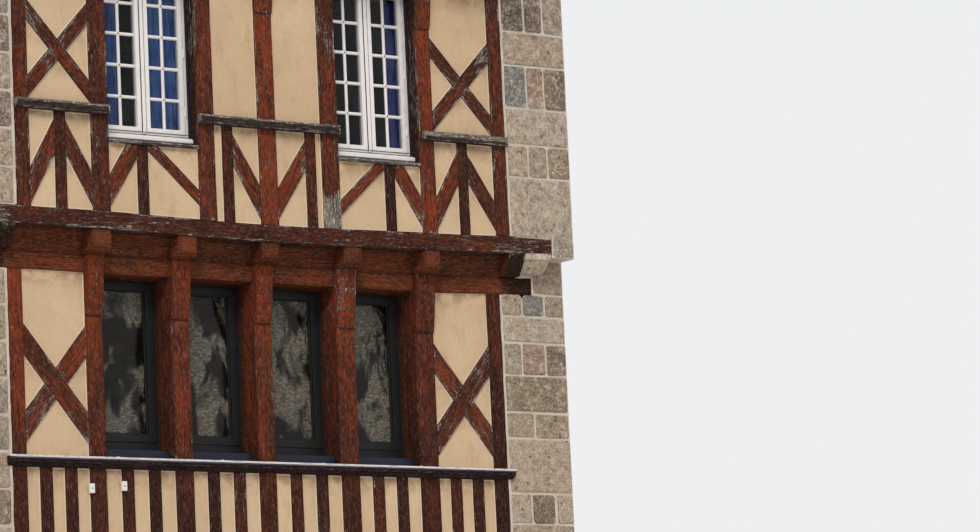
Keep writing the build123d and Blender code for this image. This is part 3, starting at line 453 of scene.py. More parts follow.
def red_clay():
    r = Recipe("red_clay")
    shade = r.attribute("shade", "Fac")
    cloud = r.noise(r.place, 7, 4, 0.6)
    colour = r.ramp(r.plus(r.times(cloud, 0.7), r.times(shade, 0.3)),
                    (0.2, rgb(116, 62, 44)), (0.5, rgb(150, 84, 58)), (0.8, rgb(176, 112, 80)))
    moss = r.noise(r.place, 22, 5, 0.7)
    colour = r.spots(colour, rgb(92, 84, 62), moss, 0.6, 0.7, 0.5)
    r.set(Base_Color=colour, Roughness=0.85)
    r.bump(r.noise(r.place, 120, 3, 0.6), 0.002)
    return r.material


SLATE = slate()
CLAY = red_clay()
print("slate and clay mixed")


# %% [markdown]
# Joinery paint is smooth, with brush marks that run up and down and patches of dirt. Lead and iron outdoors
# are dull and streaked by rain. The lead's lower edge is dark up to one level, which a step in the height of
# a point gives: partly dark paint where a painter's brush has strayed, partly a painted shadow under its lit
# upper edge.

# %% Paint and metal
LEAD_EDGE = (4.431, 4.438)      # dark paint and painted shadow fade out between these levels


def gloss_paint(name, colour, dirt, roughness, dirt_share=0.35):
    """Brushed paint on joinery, with patches of dirt."""
    r = Recipe(name)
    brush = r.streaks(r.place, (9, 9, 1.5), 14, 3, 0.5)
    patches = r.between(r.noise(r.place, 9, 5, 0.7), 0.52, 0.72)
    mixed = r.coat(colour, dirt, patches, dirt_share)
    mixed = r.spots(mixed, dirt, brush, 0.35, 0.7, 0.12)
    r.set(Base_Color=mixed, Roughness=r.between(patches, 0, 1, roughness, roughness + 0.25),
          Specular_IOR_Level=0.3)
    r.bump(brush, 0.0008)
    return r.material


def dull_metal(name, light, dark, metallic, roughness, painted=None):
    """Metal gone dull. Painted is the colour of its lower edge, where it has one: dark paint with a painted
    shadow.
    """
    r = Recipe(name)
    cloud = r.noise(r.place, 8, 5, 0.65)
    streak = r.streaks(r.place, (12, 12, 1.5), 3, 4, 0.6)
    colour = r.spots(light, dark, cloud, 0.4, 0.65, 0.6)
    colour = r.spots(colour, dark, streak, 0.5, 0.7, 0.4)
    if painted:
        level = r.plus(r.split(r.place)[2], r.times(cloud, 0.016))
        low, high = LEAD_EDGE
        colour = r.spots(colour, painted, level, high, low, 1.0)
    r.set(Base_Color=colour, Metallic=metallic,
          Roughness=r.between(cloud, 0.3, 0.7, roughness, roughness + 0.15))
    r.bump(cloud, 0.0015)
    return r.material


WHITE = gloss_paint("white_paint", rgb(242, 236, 233), rgb(180, 174, 166), 0.38)
DARK = gloss_paint("dark_paint", rgb(20, 21, 23), rgb(46, 46, 46), 0.5, 0.25)
DOOR_RED = gloss_paint("door_paint", rgb(104, 38, 26), rgb(54, 26, 20), 0.4, 0.5)
PLASTIC = gloss_paint("white_plastic", rgb(232, 230, 224), rgb(190, 186, 176), 0.45, 0.2)
# Blue black paint for the sills, also put on the thin strips that stand for shadow lines round the white
# windows.
BLUE_BLACK_AND_SHADOW = gloss_paint("blue_black_paint", rgb(25, 27, 42), rgb(66, 68, 78), 0.45, 0.3)
LEAD = dull_metal("grey_lead", rgb(222, 218, 214), rgb(150, 146, 146), 0.0, 0.6, rgb(50, 42, 58))
BRASS = dull_metal("dull_brass", rgb(176, 146, 84), rgb(112, 88, 48), 1.0, 0.38)
IRON = dull_metal("black_iron", rgb(44, 42, 42), rgb(70, 52, 42), 0.6, 0.55)
print("five paints and three metals mixed")


# %% [markdown]
# The curtains are blue cotton, faded in upright bands where the sun falls on the folds. The weave is
# finer than a pixel here, so it is only a bump. It reads the cloth's own UV map, which keeps the
# threads straight however the cloth hangs.

# %% Cotton
THREADS = 900       # across the width of a curtain, and along it


def cotton(name, dark, middle, pale):
    r = Recipe(name)
    across, along = r.split(r.node("ShaderNodeUVMap", uv_map="cloth").outputs[0])[:2]
    warp, weft = (r.maths("SINE", r.times(run, 2 * pi * THREADS)) for run in (across, along))
    slub = r.streaks(r.place, (30, 30, 3), 4, 4, 0.6)
    colour = r.ramp(slub, (0.3, dark), (0.55, middle), (0.75, pale))
    fade = r.streaks(r.place, (5, 5, 0.9), 3, 4, 0.6)
    colour = r.spots(colour, pale, fade, 0.4, 0.66, 0.6)
    r.set(Base_Color=colour, Roughness=0.85, Sheen_Weight=0.3, Sheen_Roughness=0.5)
    r.bump(r.plus(r.times(warp, weft), slub), 0.0004)
    return r.material


BLUE_COTTON = cotton("blue_cotton", rgb(26, 66, 158), rgb(60, 122, 212), rgb(148, 194, 238))
NAVY_COTTON = cotton("navy_cotton", rgb(50, 52, 148), rgb(78, 82, 190), rgb(122, 134, 214))
print("two blues of cotton mixed")


# %% [markdown]
# Old window glass ripples and is thin. A shader for thick glass would keep lamps from the curtains behind it,
# so rays on their way to a lamp pass straight through a plain tint. The glass that the camera sees through is
# tinted darker than clear glass, a painted shade for the rooms behind. The big dark panes carry a film as
# well: broad clouds, broken up by a finer crust, which are dust where rain has run and a painted reflection.

# %% Window glass
# The colour of the film on the panes: dust, and a painted reflection.
DUST_AND_REFLECTION = rgb(178, 160, 126)


def window_glass(name, dust_and_reflection_share, seen_tint, lamp_tint, dust_and_reflection_edges, ior):
    """Old thin glass. A film of dust and painted reflection lies where the clouds pass its edges, as dense as
    dust_and_reflection_share.
    """
    r = Recipe(name)
    ripple = r.streaks(r.place, (1.4, 1.4, 0.8), 3.2, 2, 0.5)
    cloud = r.streaks(r.place, (2.4, 2.4, 1.3), 1.9, 5, 0.58, 0.5, (0.25, 0.4, 0))
    crust = r.streaks(r.place, (3.0, 3.0, 6.0), 9, 7, 0.86, 0.0, (0.1, 0.25, 0))
    film = r.times(r.between(cloud, *dust_and_reflection_edges, 0.04, 1.0), r.between(crust, 0.40, 0.62, 0.15, 1.0))
    film = r.times(film, dust_and_reflection_share, clamp=True)
    r.set(Base_Color=r.mix(film, seen_tint, DUST_AND_REFLECTION), Roughness=0.03, IOR=ior,
          Transmission_Weight=r.maths("SUBTRACT", 1.0, film))
    r.bump(r.plus(ripple, r.times(cloud, 0.05)), 0.012)
    clear = r.node("ShaderNodeBsdfTransparent", {"Color": lamp_tint})
    path = r.node("ShaderNodeLightPath").outputs
    lamp = r.maths("MAXIMUM", path["Is Shadow Ray"], path["Is Diffuse Ray"])
    both = r.node("ShaderNodeMixShader", {0: lamp, 1: r.surface.outputs[0], 2: clear.outputs[0]})
    r.give(r.tree.nodes["Material Output"].inputs["Surface"], both.outputs[0])
    return r.material


# The seen tints are darker than clear glass: a painted shade for the rooms behind.
GLASS = window_glass("old_window_glass", 0.015, (0.52, 0.54, 0.57, 1), (0.72, 0.76, 0.80, 1),
                     (0.40, 0.62), 1.22)
DUSTY_REFLECTING_GLASS = window_glass("dusty_window_glass", 0.42, (0.44, 0.41, 0.35, 1), (0.44, 0.41, 0.35, 1),
                           (0.43, 0.54), 1.25)
print("clear and dusty glass mixed")


# %% [markdown]
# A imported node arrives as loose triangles. To dress it, a copy is welded, its flat faces are joined
# up again, and each separate solid becomes a small mesh of its own. What is made from it replaces
# the node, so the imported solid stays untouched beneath. Modelling each timber afresh would be the
# other way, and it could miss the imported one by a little.

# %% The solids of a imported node
WELD = 1e-5
FLAT = radians(1)


def islands(whole):
    """The faces of a bmesh, in groups that hang together."""
    seen = set()
    for first in whole.faces:
        if first in seen:
            continue
        seen.add(first)
        group, waiting = [], [first]
        while waiting:
            face = waiting.pop()
            group.append(face)
            for other in [near for edge in face.edges for near in edge.link_faces]:
                if other not in seen:
                    seen.add(other)
                    waiting.append(other)
        yield group


def solids_of(node):
    """The separate solids of a node, each as a bmesh with whole faces."""
    whole = bmesh.new()
    whole.from_mesh(nodes[node].data)
    bmesh.ops.remove_doubles(whole, verts=whole.verts, dist=WELD)
    bmesh.ops.dissolve_limit(whole, angle_limit=FLAT, verts=whole.verts, edges=whole.edges)
    parts = []
    for group in islands(whole):
        part, corner = bmesh.new(), {}
        for face in group:
            for v in face.verts:
                if v not in corner:
                    corner[v] = part.verts.new(v.co)
            part.faces.new([corner[v] for v in face.verts])
        part.normal_update()
        parts.append(part)
    whole.free()
    return parts


def box_of(part):
    """Lowest and highest corner of a bmesh."""
    points = np.array([v.co for v in part.verts])
    return points.min(0), points.max(0)


print("the front infill is", len(solids_of("front_infill")), "panels")


# %% [markdown]
# The house has settled. The beam under the second floor hangs a finger's breadth in the middle, and
# its right end has lifted with the granite. Bending that beam alone would open gaps round it. Two
# small tables say how far each place has gone, and every timber and panel that is made later follows
# them, so nothing comes apart.

# %% The settled beam
SAG = ((-1.7, -1.1, -0.3, 0.4, 0.85, 1.5), (0, -0.010, -0.024, -0.022, -0.015, 0))
SAG_LEVELS = ((6.15, 6.34, 6.50, 6.95), (0, 1, 1, 0))
RISE = ((1.7, 2.4, 2.95), (0, 0.020, 0.036))
RISE_LEVELS = ((5.5, 5.98, 6.52, 7.25), (0, 1, 1, 0))
FRONT_DEPTH = ((-3.1, -2.7), (1, 0))
LEAN = 0.08         # the lifted end also comes forward, by this share of its rise


def settled(points):
    """Where points go when the second floor's beam has sagged and its right end has lifted."""
    x, y, z = points.T
    front = np.interp(y, *FRONT_DEPTH)
    sag = np.interp(x, *SAG) * np.interp(z, *SAG_LEVELS) * front
    rise = np.interp(x, *RISE) * np.interp(z, *RISE_LEVELS) * front
    return np.stack([x, y - LEAN * rise, z + sag + rise], 1)


print("deepest sag", round(1000 * min(SAG[1])), "mm, greatest rise", round(1000 * max(RISE[1])), "mm")


# %% [markdown]
# One object for every timber would be slow to draw and hard to keep track of. A stock gathers many
# small meshes of one finish, along with the values that the finish reads, and turns them into a
# single piece that rides on the house.

# %% Gathering a piece
FIELDS = {1: ("FLOAT", "value"), 3: ("FLOAT_VECTOR", "vector")}


def settle(name, mesh, material, slot, replaced=()):
    """An object from a mesh, riding on the house, with its finish."""
    if material:
        mesh.materials.append(material)
    piece = bpy.data.objects.new(name, mesh)
    bpy.context.scene.collection.objects.link(piece)
    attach(piece, "root")
    if replaced:
        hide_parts(*replaced)
    print(name, len(mesh.vertices), "points,", len(mesh.polygons), "faces")
    return piece


class Stock:
    """Gathers many small meshes, with their attributes, into one piece."""

    def __init__(self):
        self.verts, self.faces, self.data = [], [], {}

    def take(self, part, **values):
        """Add a bmesh, with a value for each of its vertices by attribute name."""
        start = len(self.verts)
        part.verts.index_update()
        self.verts += [tuple(v.co) for v in part.verts]
        self.faces += [tuple(start + v.index for v in face.verts) for face in part.faces]
        for name, rows in values.items():
            self.data.setdefault(name, []).extend(rows)
        part.free()

    def box(self, a, b, arris=0.0, segments=2):
        """Add a box between two corners, with its edges rounded off by the arris."""
        part = block(a, b)
        if arris:
            soften(part, arris, segments)
        self.take(part)

    def piece(self, name, material, slot, replaced=(), smooth=False):
        """Make the object, let it ride, and hide the nodes that it replaces."""
        mesh = bpy.data.meshes.new(name)
        mesh.from_pydata(settled(np.array(self.verts)).tolist(), [], self.faces)
        for attribute, rows in self.data.items():
            kind, field = FIELDS[np.size(rows[0])]
            layer = mesh.attributes.new(attribute, kind, "POINT")
            layer.data.foreach_set(field, np.asarray(rows, np.float32).ravel())
        if smooth:
            mesh.shade_smooth()
        return settle(name, mesh, material, slot, replaced)


print("a stock is ready")

# %% [markdown]
# A few moves shape nearly everything that follows: a plain block, edges rounded off, a cut along a
# plane, and even cuts along a length. bmesh runs them on a mesh in memory, which is quicker and
# surer than pressing keys in edit mode.

# %% Blocks, soft edges and cuts
SHARP = radians(20)
TOUCH = 1e-6


def corners_of(a, b):
    """Lowest and highest corner of the box between two points."""
    return Vector([min(pair) for pair in zip(a, b)]), Vector([max(pair) for pair in zip(a, b)])


def block(a, b):
    """A plain box between two opposite corners."""
    low, high = corners_of(a, b)
    part = bmesh.new()
    place = Matrix.Translation((low + high) / 2) @ Matrix.Diagonal((*(high - low), 1))
    bmesh.ops.create_cube(part, size=1, matrix=place)
    return part


def soften(part, width, segments=2):
    """Round off every sharp edge."""
    sharp = [e for e in part.edges if len(e.link_faces) == 2 and e.calc_face_angle(0) > SHARP]
    bmesh.ops.bevel(part, geom=sharp, offset=width, segments=segments, profile=0.6,
                    affect="EDGES", clamp_overlap=True)


def inset(part, face, width, most):
    """Give a face a border, no wider than a share of the face's own narrow side."""
    narrow = 2 * face.calc_area() / sum(e.calc_length() for e in face.edges)
    bmesh.ops.inset_individual(part, faces=[face], thickness=min(width, most * narrow),
                               use_even_offset=True)


def slit(part, point, normal, **past):
    """Cut along a plane. With clear_outer, what lies past it goes."""
    everything = [*part.verts, *part.edges, *part.faces]
    bmesh.ops.bisect_plane(part, geom=everything, dist=TOUCH, plane_co=point, plane_no=normal, **past)


def cut_off(part, point, normal):
    """Take away what lies past a plane, and close the cut."""
    slit(part, point, normal, clear_outer=True)
    bmesh.ops.holes_fill(part, edges=[e for e in part.edges if e.is_boundary])


def cross_cuts(part, start, along, pitch, most=1000):
    """Even cuts square to a direction, about a pitch apart. Gives both ends, measured from start."""
    reach = [(v.co - start).dot(along) for v in part.verts]
    low, high = min(reach), max(reach)
    count = max(1, min(most, int((high - low) / pitch)))
    for step in range(1, count):
        slit(part, start + along * (low + (high - low) * step / count), along)
    return low, high


sample = block((0, 0, 0), (1, 1, 1))
soften(sample, 0.1)
print("a softened block has", len(sample.faces), "faces")
sample.free()


# %% [markdown]
# Hewn oak is never quite straight. Each timber's edges are rounded, every broad face gets an inner
# border that marks where wear stops, and cross cuts along its length let it wander a few
# millimetres. The grain follows the timber's own long axis, so a slanting brace has slanting grain.
# That axis is the direction in which its points spread most.

# %% Along and across a timber
AXES = (Vector((1, 0, 0)), Vector((0, 1, 0)), Vector((0, 0, 1)))
SLANT = cos(radians(8))         # a timber that leans by more than this has slanting grain


def axes_of(part):
    """Middle of a timber, with its long, side and depth axes."""
    points = np.array([v.co for v in part.verts])
    size = np.ptp(points, axis=0)
    longest = int(size.argmax())
    long_axis = AXES[longest]
    spread = np.linalg.eigh(np.cov((points - points.mean(0)).T))
    main = Vector(spread[1][:, -1])
    if abs(main.dot(long_axis)) < SLANT:
        long_axis = main if main[longest] > 0 else -main
    depth = AXES[1] if abs(long_axis.y) < 0.3 else AXES[2]
    side = long_axis.cross(depth).normalized()
    return Vector((points.min(0) + points.max(0)) / 2), long_axis, side, side.cross(long_axis)


print("axes ready")

# %% [markdown]
# Weather and light don't treat all timbers alike. The rails' upper faces are washed bare, and they are
# brighter as well, which is a painted highlight. One post has lost nearly all its paint at the foot, another
# is chalky at its head, and the first floor's last post is darker. The posts' left flanks are darker, and on
# the second floor barer, as weathered wood and as painted shade. The wall plates' ends inside the granite are
# darker as a painted shadow, and the joists' ends there are darker and, above a height in their storey,
# barer. A painted mask for each would be slow work, so one function looks at the place and says how much
# brighter and how much barer it is.

# %% Where wear, painted shade and painted highlight fall
WALL_IN, WALL_OUT = 2.5, 3.2    # the granite walls' faces, from the middle of the house
IN_WALL = WALL_IN + 0.02
STOREY = 2.94                   # from one upper floor to the next
BARE_POST = (0.5, 0.73, 6.8)    # its sides, and the level up to which it is bare
CHALKY_POST = (0.7, 0.95, 5.75)     # its sides, and the level from which it is chalky
LAST_POST = 2.3
JOIST_BARE = 0.36               # joists are barer above this height in their storey
BARE_AND_LIT_ABOVE = {"second_sill_rails": 7.372, "second_window_boards": 7.098}    # barer above, washed by rain, and brighter, a painted highlight


def wear_and_painted_light(node, place, flank):
    """How much brighter, and how much barer, one spot of a timber is than the rest."""
    if node == "second_posts":
        left, right, level = BARE_POST
        if left < place.x < right and place.z < level:
            return 0.0, 3.0
        # Its left flank is darker and barer: weathered wood, and painted shade.
        return -1.1 * flank, 0.45 * flank
    if node == "first_posts":
        left, right, level = CHALKY_POST
        chalky = 0.5 if left < place.x < right and place.z > level else 0.0
        # A little painted shade on the left flank, and the last post darker all over.
        return -0.1 * flank - (0.45 if place.x > LAST_POST else 0.0), chalky
    # The wall plates' ends inside the granite are darker: a painted shadow.
    if node == "wall_plates" and abs(place.x) > IN_WALL:
        return -1.2, 0.0
    if node == "floor_joists" and abs(place.x) > WALL_IN:
        return -1.3, 1.1 if place.z % STOREY > JOIST_BARE else 0.0
    if node == "oversailing_beams" and abs(place.x) > IN_WALL:
        return -0.15, 0.4
    # Upper faces are washed bare, and brighter as a painted highlight.
    if node in BARE_AND_LIT_ABOVE and place.z > BARE_AND_LIT_ABOVE[node]:
        return 1.0, 2.6
    return 0.0, 0.0


print("the bare post's foot:", wear_and_painted_light("second_posts", Vector((0.6, -3.5, 6.6)), 0))

# %% [markdown]
# Hewing is the same for every timber: soften, border, cut across, then push each point a little to
# the side with smooth noise. A wave along the length bends the whole timber, and a finer one nicks
# its faces. The grain's place is moved by a random amount, or all timbers would share one pattern.
# Vector noise starts from the clock unless it is given a seed, so it gets one, and the house comes
# out the same in every run.

# %% Hewing one timber
NOISE_SEED = 7
ARRIS = 0.006
BORDER = 0.020
BROAD = 0.003                   # faces with less area get no border
STATION = 0.16
MOST_CUTS = 32
WANDER = 0.0035
NICK = 0.0018
SHIFT = 40                      # how far apart two timbers may be in the pattern

noise.seed_set(NOISE_SEED)


def hew(part, stock, node, number, tone, loss, climb):
    """Shape one timber and hand it to the stock with its grain and look."""
    chance = random.Random(f"{node}{number}")
    middle, along, side, depth = axes_of(part)
    soften(part, ARRIS)
    edge = part.verts.layers.float.new("edge")
    left = part.verts.layers.float.new("left")
    for v in part.verts:
        v[edge] = 1.0
    for face in [f for f in part.faces if f.calc_area() > BROAD]:
        inset(part, face, BORDER, 0.5)
        for v in face.verts:
            v[edge] = 0.0
            # The left-facing faces, which are darkened later, partly as painted shade.
            v[left] = 1.0 if face.normal.x < -0.9 else 0.0
    low, high = cross_cuts(part, middle, along, STATION, MOST_CUTS)
    shift = Vector([chance.uniform(-SHIFT, SHIFT) for _ in range(3)])
    shade = chance.uniform(*tone)
    grain, look = [], []
    for v in part.verts:
        own = v.co - middle
        u, s, d = own.dot(along), own.dot(side), own.dot(depth)
        bend = noise.noise_vector(Vector((u * 1.1, 0, 0)) + shift)
        nick = noise.noise(Vector((u * 5, s * 12, d * 12)) + shift)
        v.co += side * (WANDER * bend.x + NICK * nick) + depth * (0.4 * WANDER * bend.y)
        grain.append((u + shift.x, s + shift.y, d + shift.z))
        brighter, barer = wear_and_painted_light(node, v.co, v[left])
        brighter += climb * ((u - low) / (high - low) - 0.5)
        look.append((v[edge], shade + brighter, loss + barer))
    stock.take(part, grain=grain, look=look)


print("hewing ready")

# %% [markdown]
# Each node of timbers gets its paint, a span of tones that its timbers are drawn from, how much
# paint it has lost, and how much brighter its timbers get to their upper or right end.

# %% All the timbers
PAINTED, GREY = "painted_oak", "weathered_oak"
TIMBERS = (("first_posts", RED_OAK, PAINTED, (0.2, 0.65), 0.05, 0.8),
           ("second_posts", RED_OAK, PAINTED, (0.25, 0.8), 0.4, 0.0),
           ("ground_posts", RED_OAK, PAINTED, (0.3, 0.8), 0.2, 0.0),
           ("ground_rails", RED_OAK, PAINTED, (0.2, 0.6), 0.3, 0.0),
           ("close_studs", RED_OAK, PAINTED, (-0.15, 0.45), 0.1, 0.0),
           ("falling_braces", RED_OAK, PAINTED, (0.1, 0.65), 0.6, 0.0),
           ("rising_braces", RED_OAK, PAINTED, (0.1, 0.65), 0.6, 0.0),
           ("second_struts", RED_OAK, PAINTED, (0.1, 0.7), 0.5, 0.0),
           ("oversailing_beams", RED_OAK, PAINTED, (0.1, 0.4), 0.6, 0.0),
           ("wall_plates", BROWN_OAK, PAINTED, (0.4, 0.8), 0.1, 0.0),
           ("floor_joists", BROWN_OAK, PAINTED, (0.5, 1.0), 0.1, 0.0),
           ("jetty_boards", BROWN_OAK, PAINTED, (0.2, 0.7), 0.0, 0.0),
           ("back_posts", RED_OAK, PAINTED, (0.1, 0.7), 0.4, 0.0),
           ("back_rails", RED_OAK, PAINTED, (0.1, 0.6), 0.4, 0.0),
           ("first_sill_rail", NAVY_OAK, GREY, (0.0, 0.4), 0.0, 0.0),
           ("second_sill_rails", GREY_OAK, GREY, (0.0, 0.4), 0.4, 0.0),
           ("second_window_boards", GREY_OAK, GREY, (0.4, 0.9), 0.6, 0.0),
           ("front_rafters", GREY_OAK, GREY, (0.2, 0.7), 0.2, 0.0),
           ("back_rafters", GREY_OAK, GREY, (0.2, 0.7), 0.2, 0.0))

for node, finish, slot, tone, loss, climb in TIMBERS:
    stock = Stock()
    for number, part in enumerate(solids_of(node)):
        hew(part, stock, node, number, tone, loss, climb)
    stock.piece(f"{node}_hewn", finish, slot, [node])


# %% [markdown]
# A plaster panel meets the timbers in a fillet, pressed in when the wall was last repaired, and paler, partly
# as a painted highlight.
# Each panel's outer face gets a narrow border that stands a little proud, and the field inside is
# cut into a coarse net and made slightly uneven, as hand laid plaster is. A bump alone would leave
# the panel's edge dead straight where the light rakes it.

# %% Plaster panels
FILLET = 0.013
FILLET_RISE = 0.004
NET = 0.16
UNEVEN = 0.003
STAIN_AND_SHADE_REACH = 0.16


def panels(node, outward):
    """Dress the outer faces of a node's panels. Outward is the sign of Y that they face."""
    stock = Stock()
    for number, part in enumerate(solids_of(node)):
        edge = part.verts.layers.float.new("edge")
        for v in part.verts:
            v[edge] = 1.0
        for face in [f for f in part.faces if f.normal.y * outward > 0.9 and f.calc_area() > 0.001]:
            inset(part, face, FILLET, 0.35)
            for v in face.verts:
                v[edge] = 0.0
        for axis in (AXES[0], AXES[2]):
            cross_cuts(part, Vector(), axis, NET)
        outermost = max(v.co.y * outward for v in part.verts)
        top = max(v.co.z for v in part.verts)
        look = []
        for v in part.verts:
            in_front = outermost - v.co.y * outward < 1e-4
            rim = v[edge] if in_front else 0.0
            if in_front:
                swell = UNEVEN * noise.noise(v.co * 3.1 + AXES[1] * number)
                v.co.y += outward * (FILLET_RISE * rim + swell * (1 - rim))
            # Nearness to the panel's head, where the plaster is stained and in painted shadow.
            stain_and_shade = max(0.0, 1 - (top - v.co.z) / STAIN_AND_SHADE_REACH)
            look.append((rim, stain_and_shade, 0.0))
        stock.take(part, look=look)
    stock.piece(f"{node}_plaster", PLASTER, "plaster", [node])


panels("front_infill", -1)
panels("back_infill", 1)


# %% [markdown]
# The shared walls are granite, laid in courses. Modelling every stone by hand would take days. A
# Geometry Nodes tree does it from flat outlines: it raises each one into a stone with a worn edge and
# an uneven face, and one tree serves all the walls and the chimneys. First comes a helper for such
# trees, in which the inputs are named for the sizes that they set.

# %% A tree of Geometry Nodes
KINDS = {float: "Float", int: "Int", tuple: "Vector", type(None): "Material"}


class Form(Graph):
    """A tree that takes a geometry and named sizes, and gives a painted geometry."""

    def __init__(self, name, sizes):
        super().__init__(bpy.data.node_groups.new(name, "GeometryNodeTree"))
        sockets = self.tree.interface
        sockets.new_socket("Geometry", in_out="INPUT", socket_type="NodeSocketGeometry")
        for label, value in sizes.items():
            kind = KINDS[type(value)]
            socket = sockets.new_socket(label, in_out="INPUT", socket_type=f"NodeSocket{kind}")
            if value is not None:
                socket.default_value = value
        sockets.new_socket("Geometry", in_out="OUTPUT", socket_type="NodeSocketGeometry")
        self.given = self.node("NodeGroupInput").outputs

    def end(self, geometry, material):
        """Realize what was instanced, give it its material, and end the tree."""
        real = self.node("GeometryNodeRealizeInstances", {"Geometry": geometry})
        painted = self.node("GeometryNodeSetMaterial", {"Geometry": real.outputs[0], "Material": material})
        self.node("NodeGroupOutput", {0: painted.outputs[0]})
        print(self.tree.name, "has", len(self.tree.nodes), "nodes")
        return self.tree


def grow(name, mesh, tree, values, slot):
    """Run a tree on a mesh, and keep the result as a plain piece of the house."""
    seed = bpy.data.objects.new(f"{name}_seed", mesh)
    bpy.context.scene.collection.objects.link(seed)
    modifier = seed.modifiers.new("grow", "NODES")
    modifier.node_group = tree
    for item in tree.interface.items_tree:
        if item.in_out == "INPUT" and item.name in values:
            modifier[item.identifier] = values[item.name]
    seed.update_tag()
    bpy.context.view_layer.update()
    whole = seed.evaluated_get(bpy.context.evaluated_depsgraph_get())
    grown = bpy.data.meshes.new_from_object(whole)
    grown.name = name
    seed.modifiers.remove(modifier)
    bpy.data.objects.remove(seed)
    return settle(name, grown, None, slot)


print("tree helpers ready")

# %% [markdown]
# The stone itself: the outline is pushed out twice. The first push makes upright sides, the second
# a rim that leans in to a slightly smaller face, and noise then makes that face uneven. The outline,
# flipped round, closes the back.

# %% The stone tree
STONE_RISE = 0.009
STONE_ROUGH = 0.004
STONE_SEED = 3.0
UPRIGHT, WORN = 0.55, 0.45      # shares of the rise in the sides and in the rim
FACE_SHARE = 0.93


def stone_tree():
    g = Form("raised_stones", {"Rise": STONE_RISE, "Rough": STONE_ROUGH, "Seed": STONE_SEED, "Stone": None})
    flat, rise = g.given["Geometry"], g.given["Rise"]
    back = g.node("GeometryNodeFlipFaces", {"Mesh": flat})
    sides = g.node("GeometryNodeExtrudeMesh", {"Mesh": flat, "Offset Scale": g.times(rise, UPRIGHT)})
    rim = g.node("GeometryNodeExtrudeMesh", {"Mesh": sides.outputs["Mesh"], "Selection": sides.outputs["Top"],
                                            "Offset Scale": g.times(rise, WORN)})
    top = rim.outputs["Top"]
    face = g.node("GeometryNodeScaleElements", {"Geometry": rim.outputs["Mesh"], "Selection": top,
                                                "Scale": FACE_SHARE})
    place = g.node("GeometryNodeInputPosition").outputs[0]
    cloud = g.node("ShaderNodeTexNoise", {"Vector": place, "W": g.given["Seed"], "Scale": 9.0},
                   noise_dimensions="4D")
    centred = g.vectors("SUBTRACT", cloud.outputs["Color"], (0.5, 0.5, 0.5))
    offset = g.node("ShaderNodeVectorMath", {0: centred, "Scale": g.given["Rough"]}, operation="SCALE")
    uneven = g.node("GeometryNodeSetPosition", {"Geometry": face.outputs[0], "Selection": top,
                                                "Offset": offset.outputs[0]})
    both = g.node("GeometryNodeJoinGeometry")
    for half in (uneven, back):
        g.tree.links.new(half.outputs[0], both.inputs[0])
    closed = g.node("GeometryNodeMergeByDistance", {"Geometry": both.outputs[0], "Distance": WELD})
    return g.end(closed.outputs[0], g.given["Stone"])


STONE_TREE = stone_tree()

# %% [markdown]
# The outlines are planned flat, as a mason would on paper: courses of uneven height, stones of
# uneven width with cut corners, and a joint all round. Each has a tint from a small box of granite
# colours. A brick texture could draw the same lines, but its courses would be too regular, and its
# joints would have no depth.

# %% Planning the stones
JOINT = 0.024
CORNER = 0.022
STRAY = 0.004                   # how far a corner may be out of line
LEAST_STONE = 0.03
SLIVER = 0.002                  # area of a stone that is left out after a clip
TINTS = {"sand": rgb(174, 153, 132), "pale": rgb(188, 170, 150), "rose": rgb(158, 128, 111),
         "dark": rgb(112, 95, 82), "blue": rgb(122, 123, 118), "olive": rgb(148, 131, 106),
         "grey": rgb(158, 145, 130)}
COMMON = ("sand", "pale", "sand", "grey", "rose", "olive", "dark", "blue")


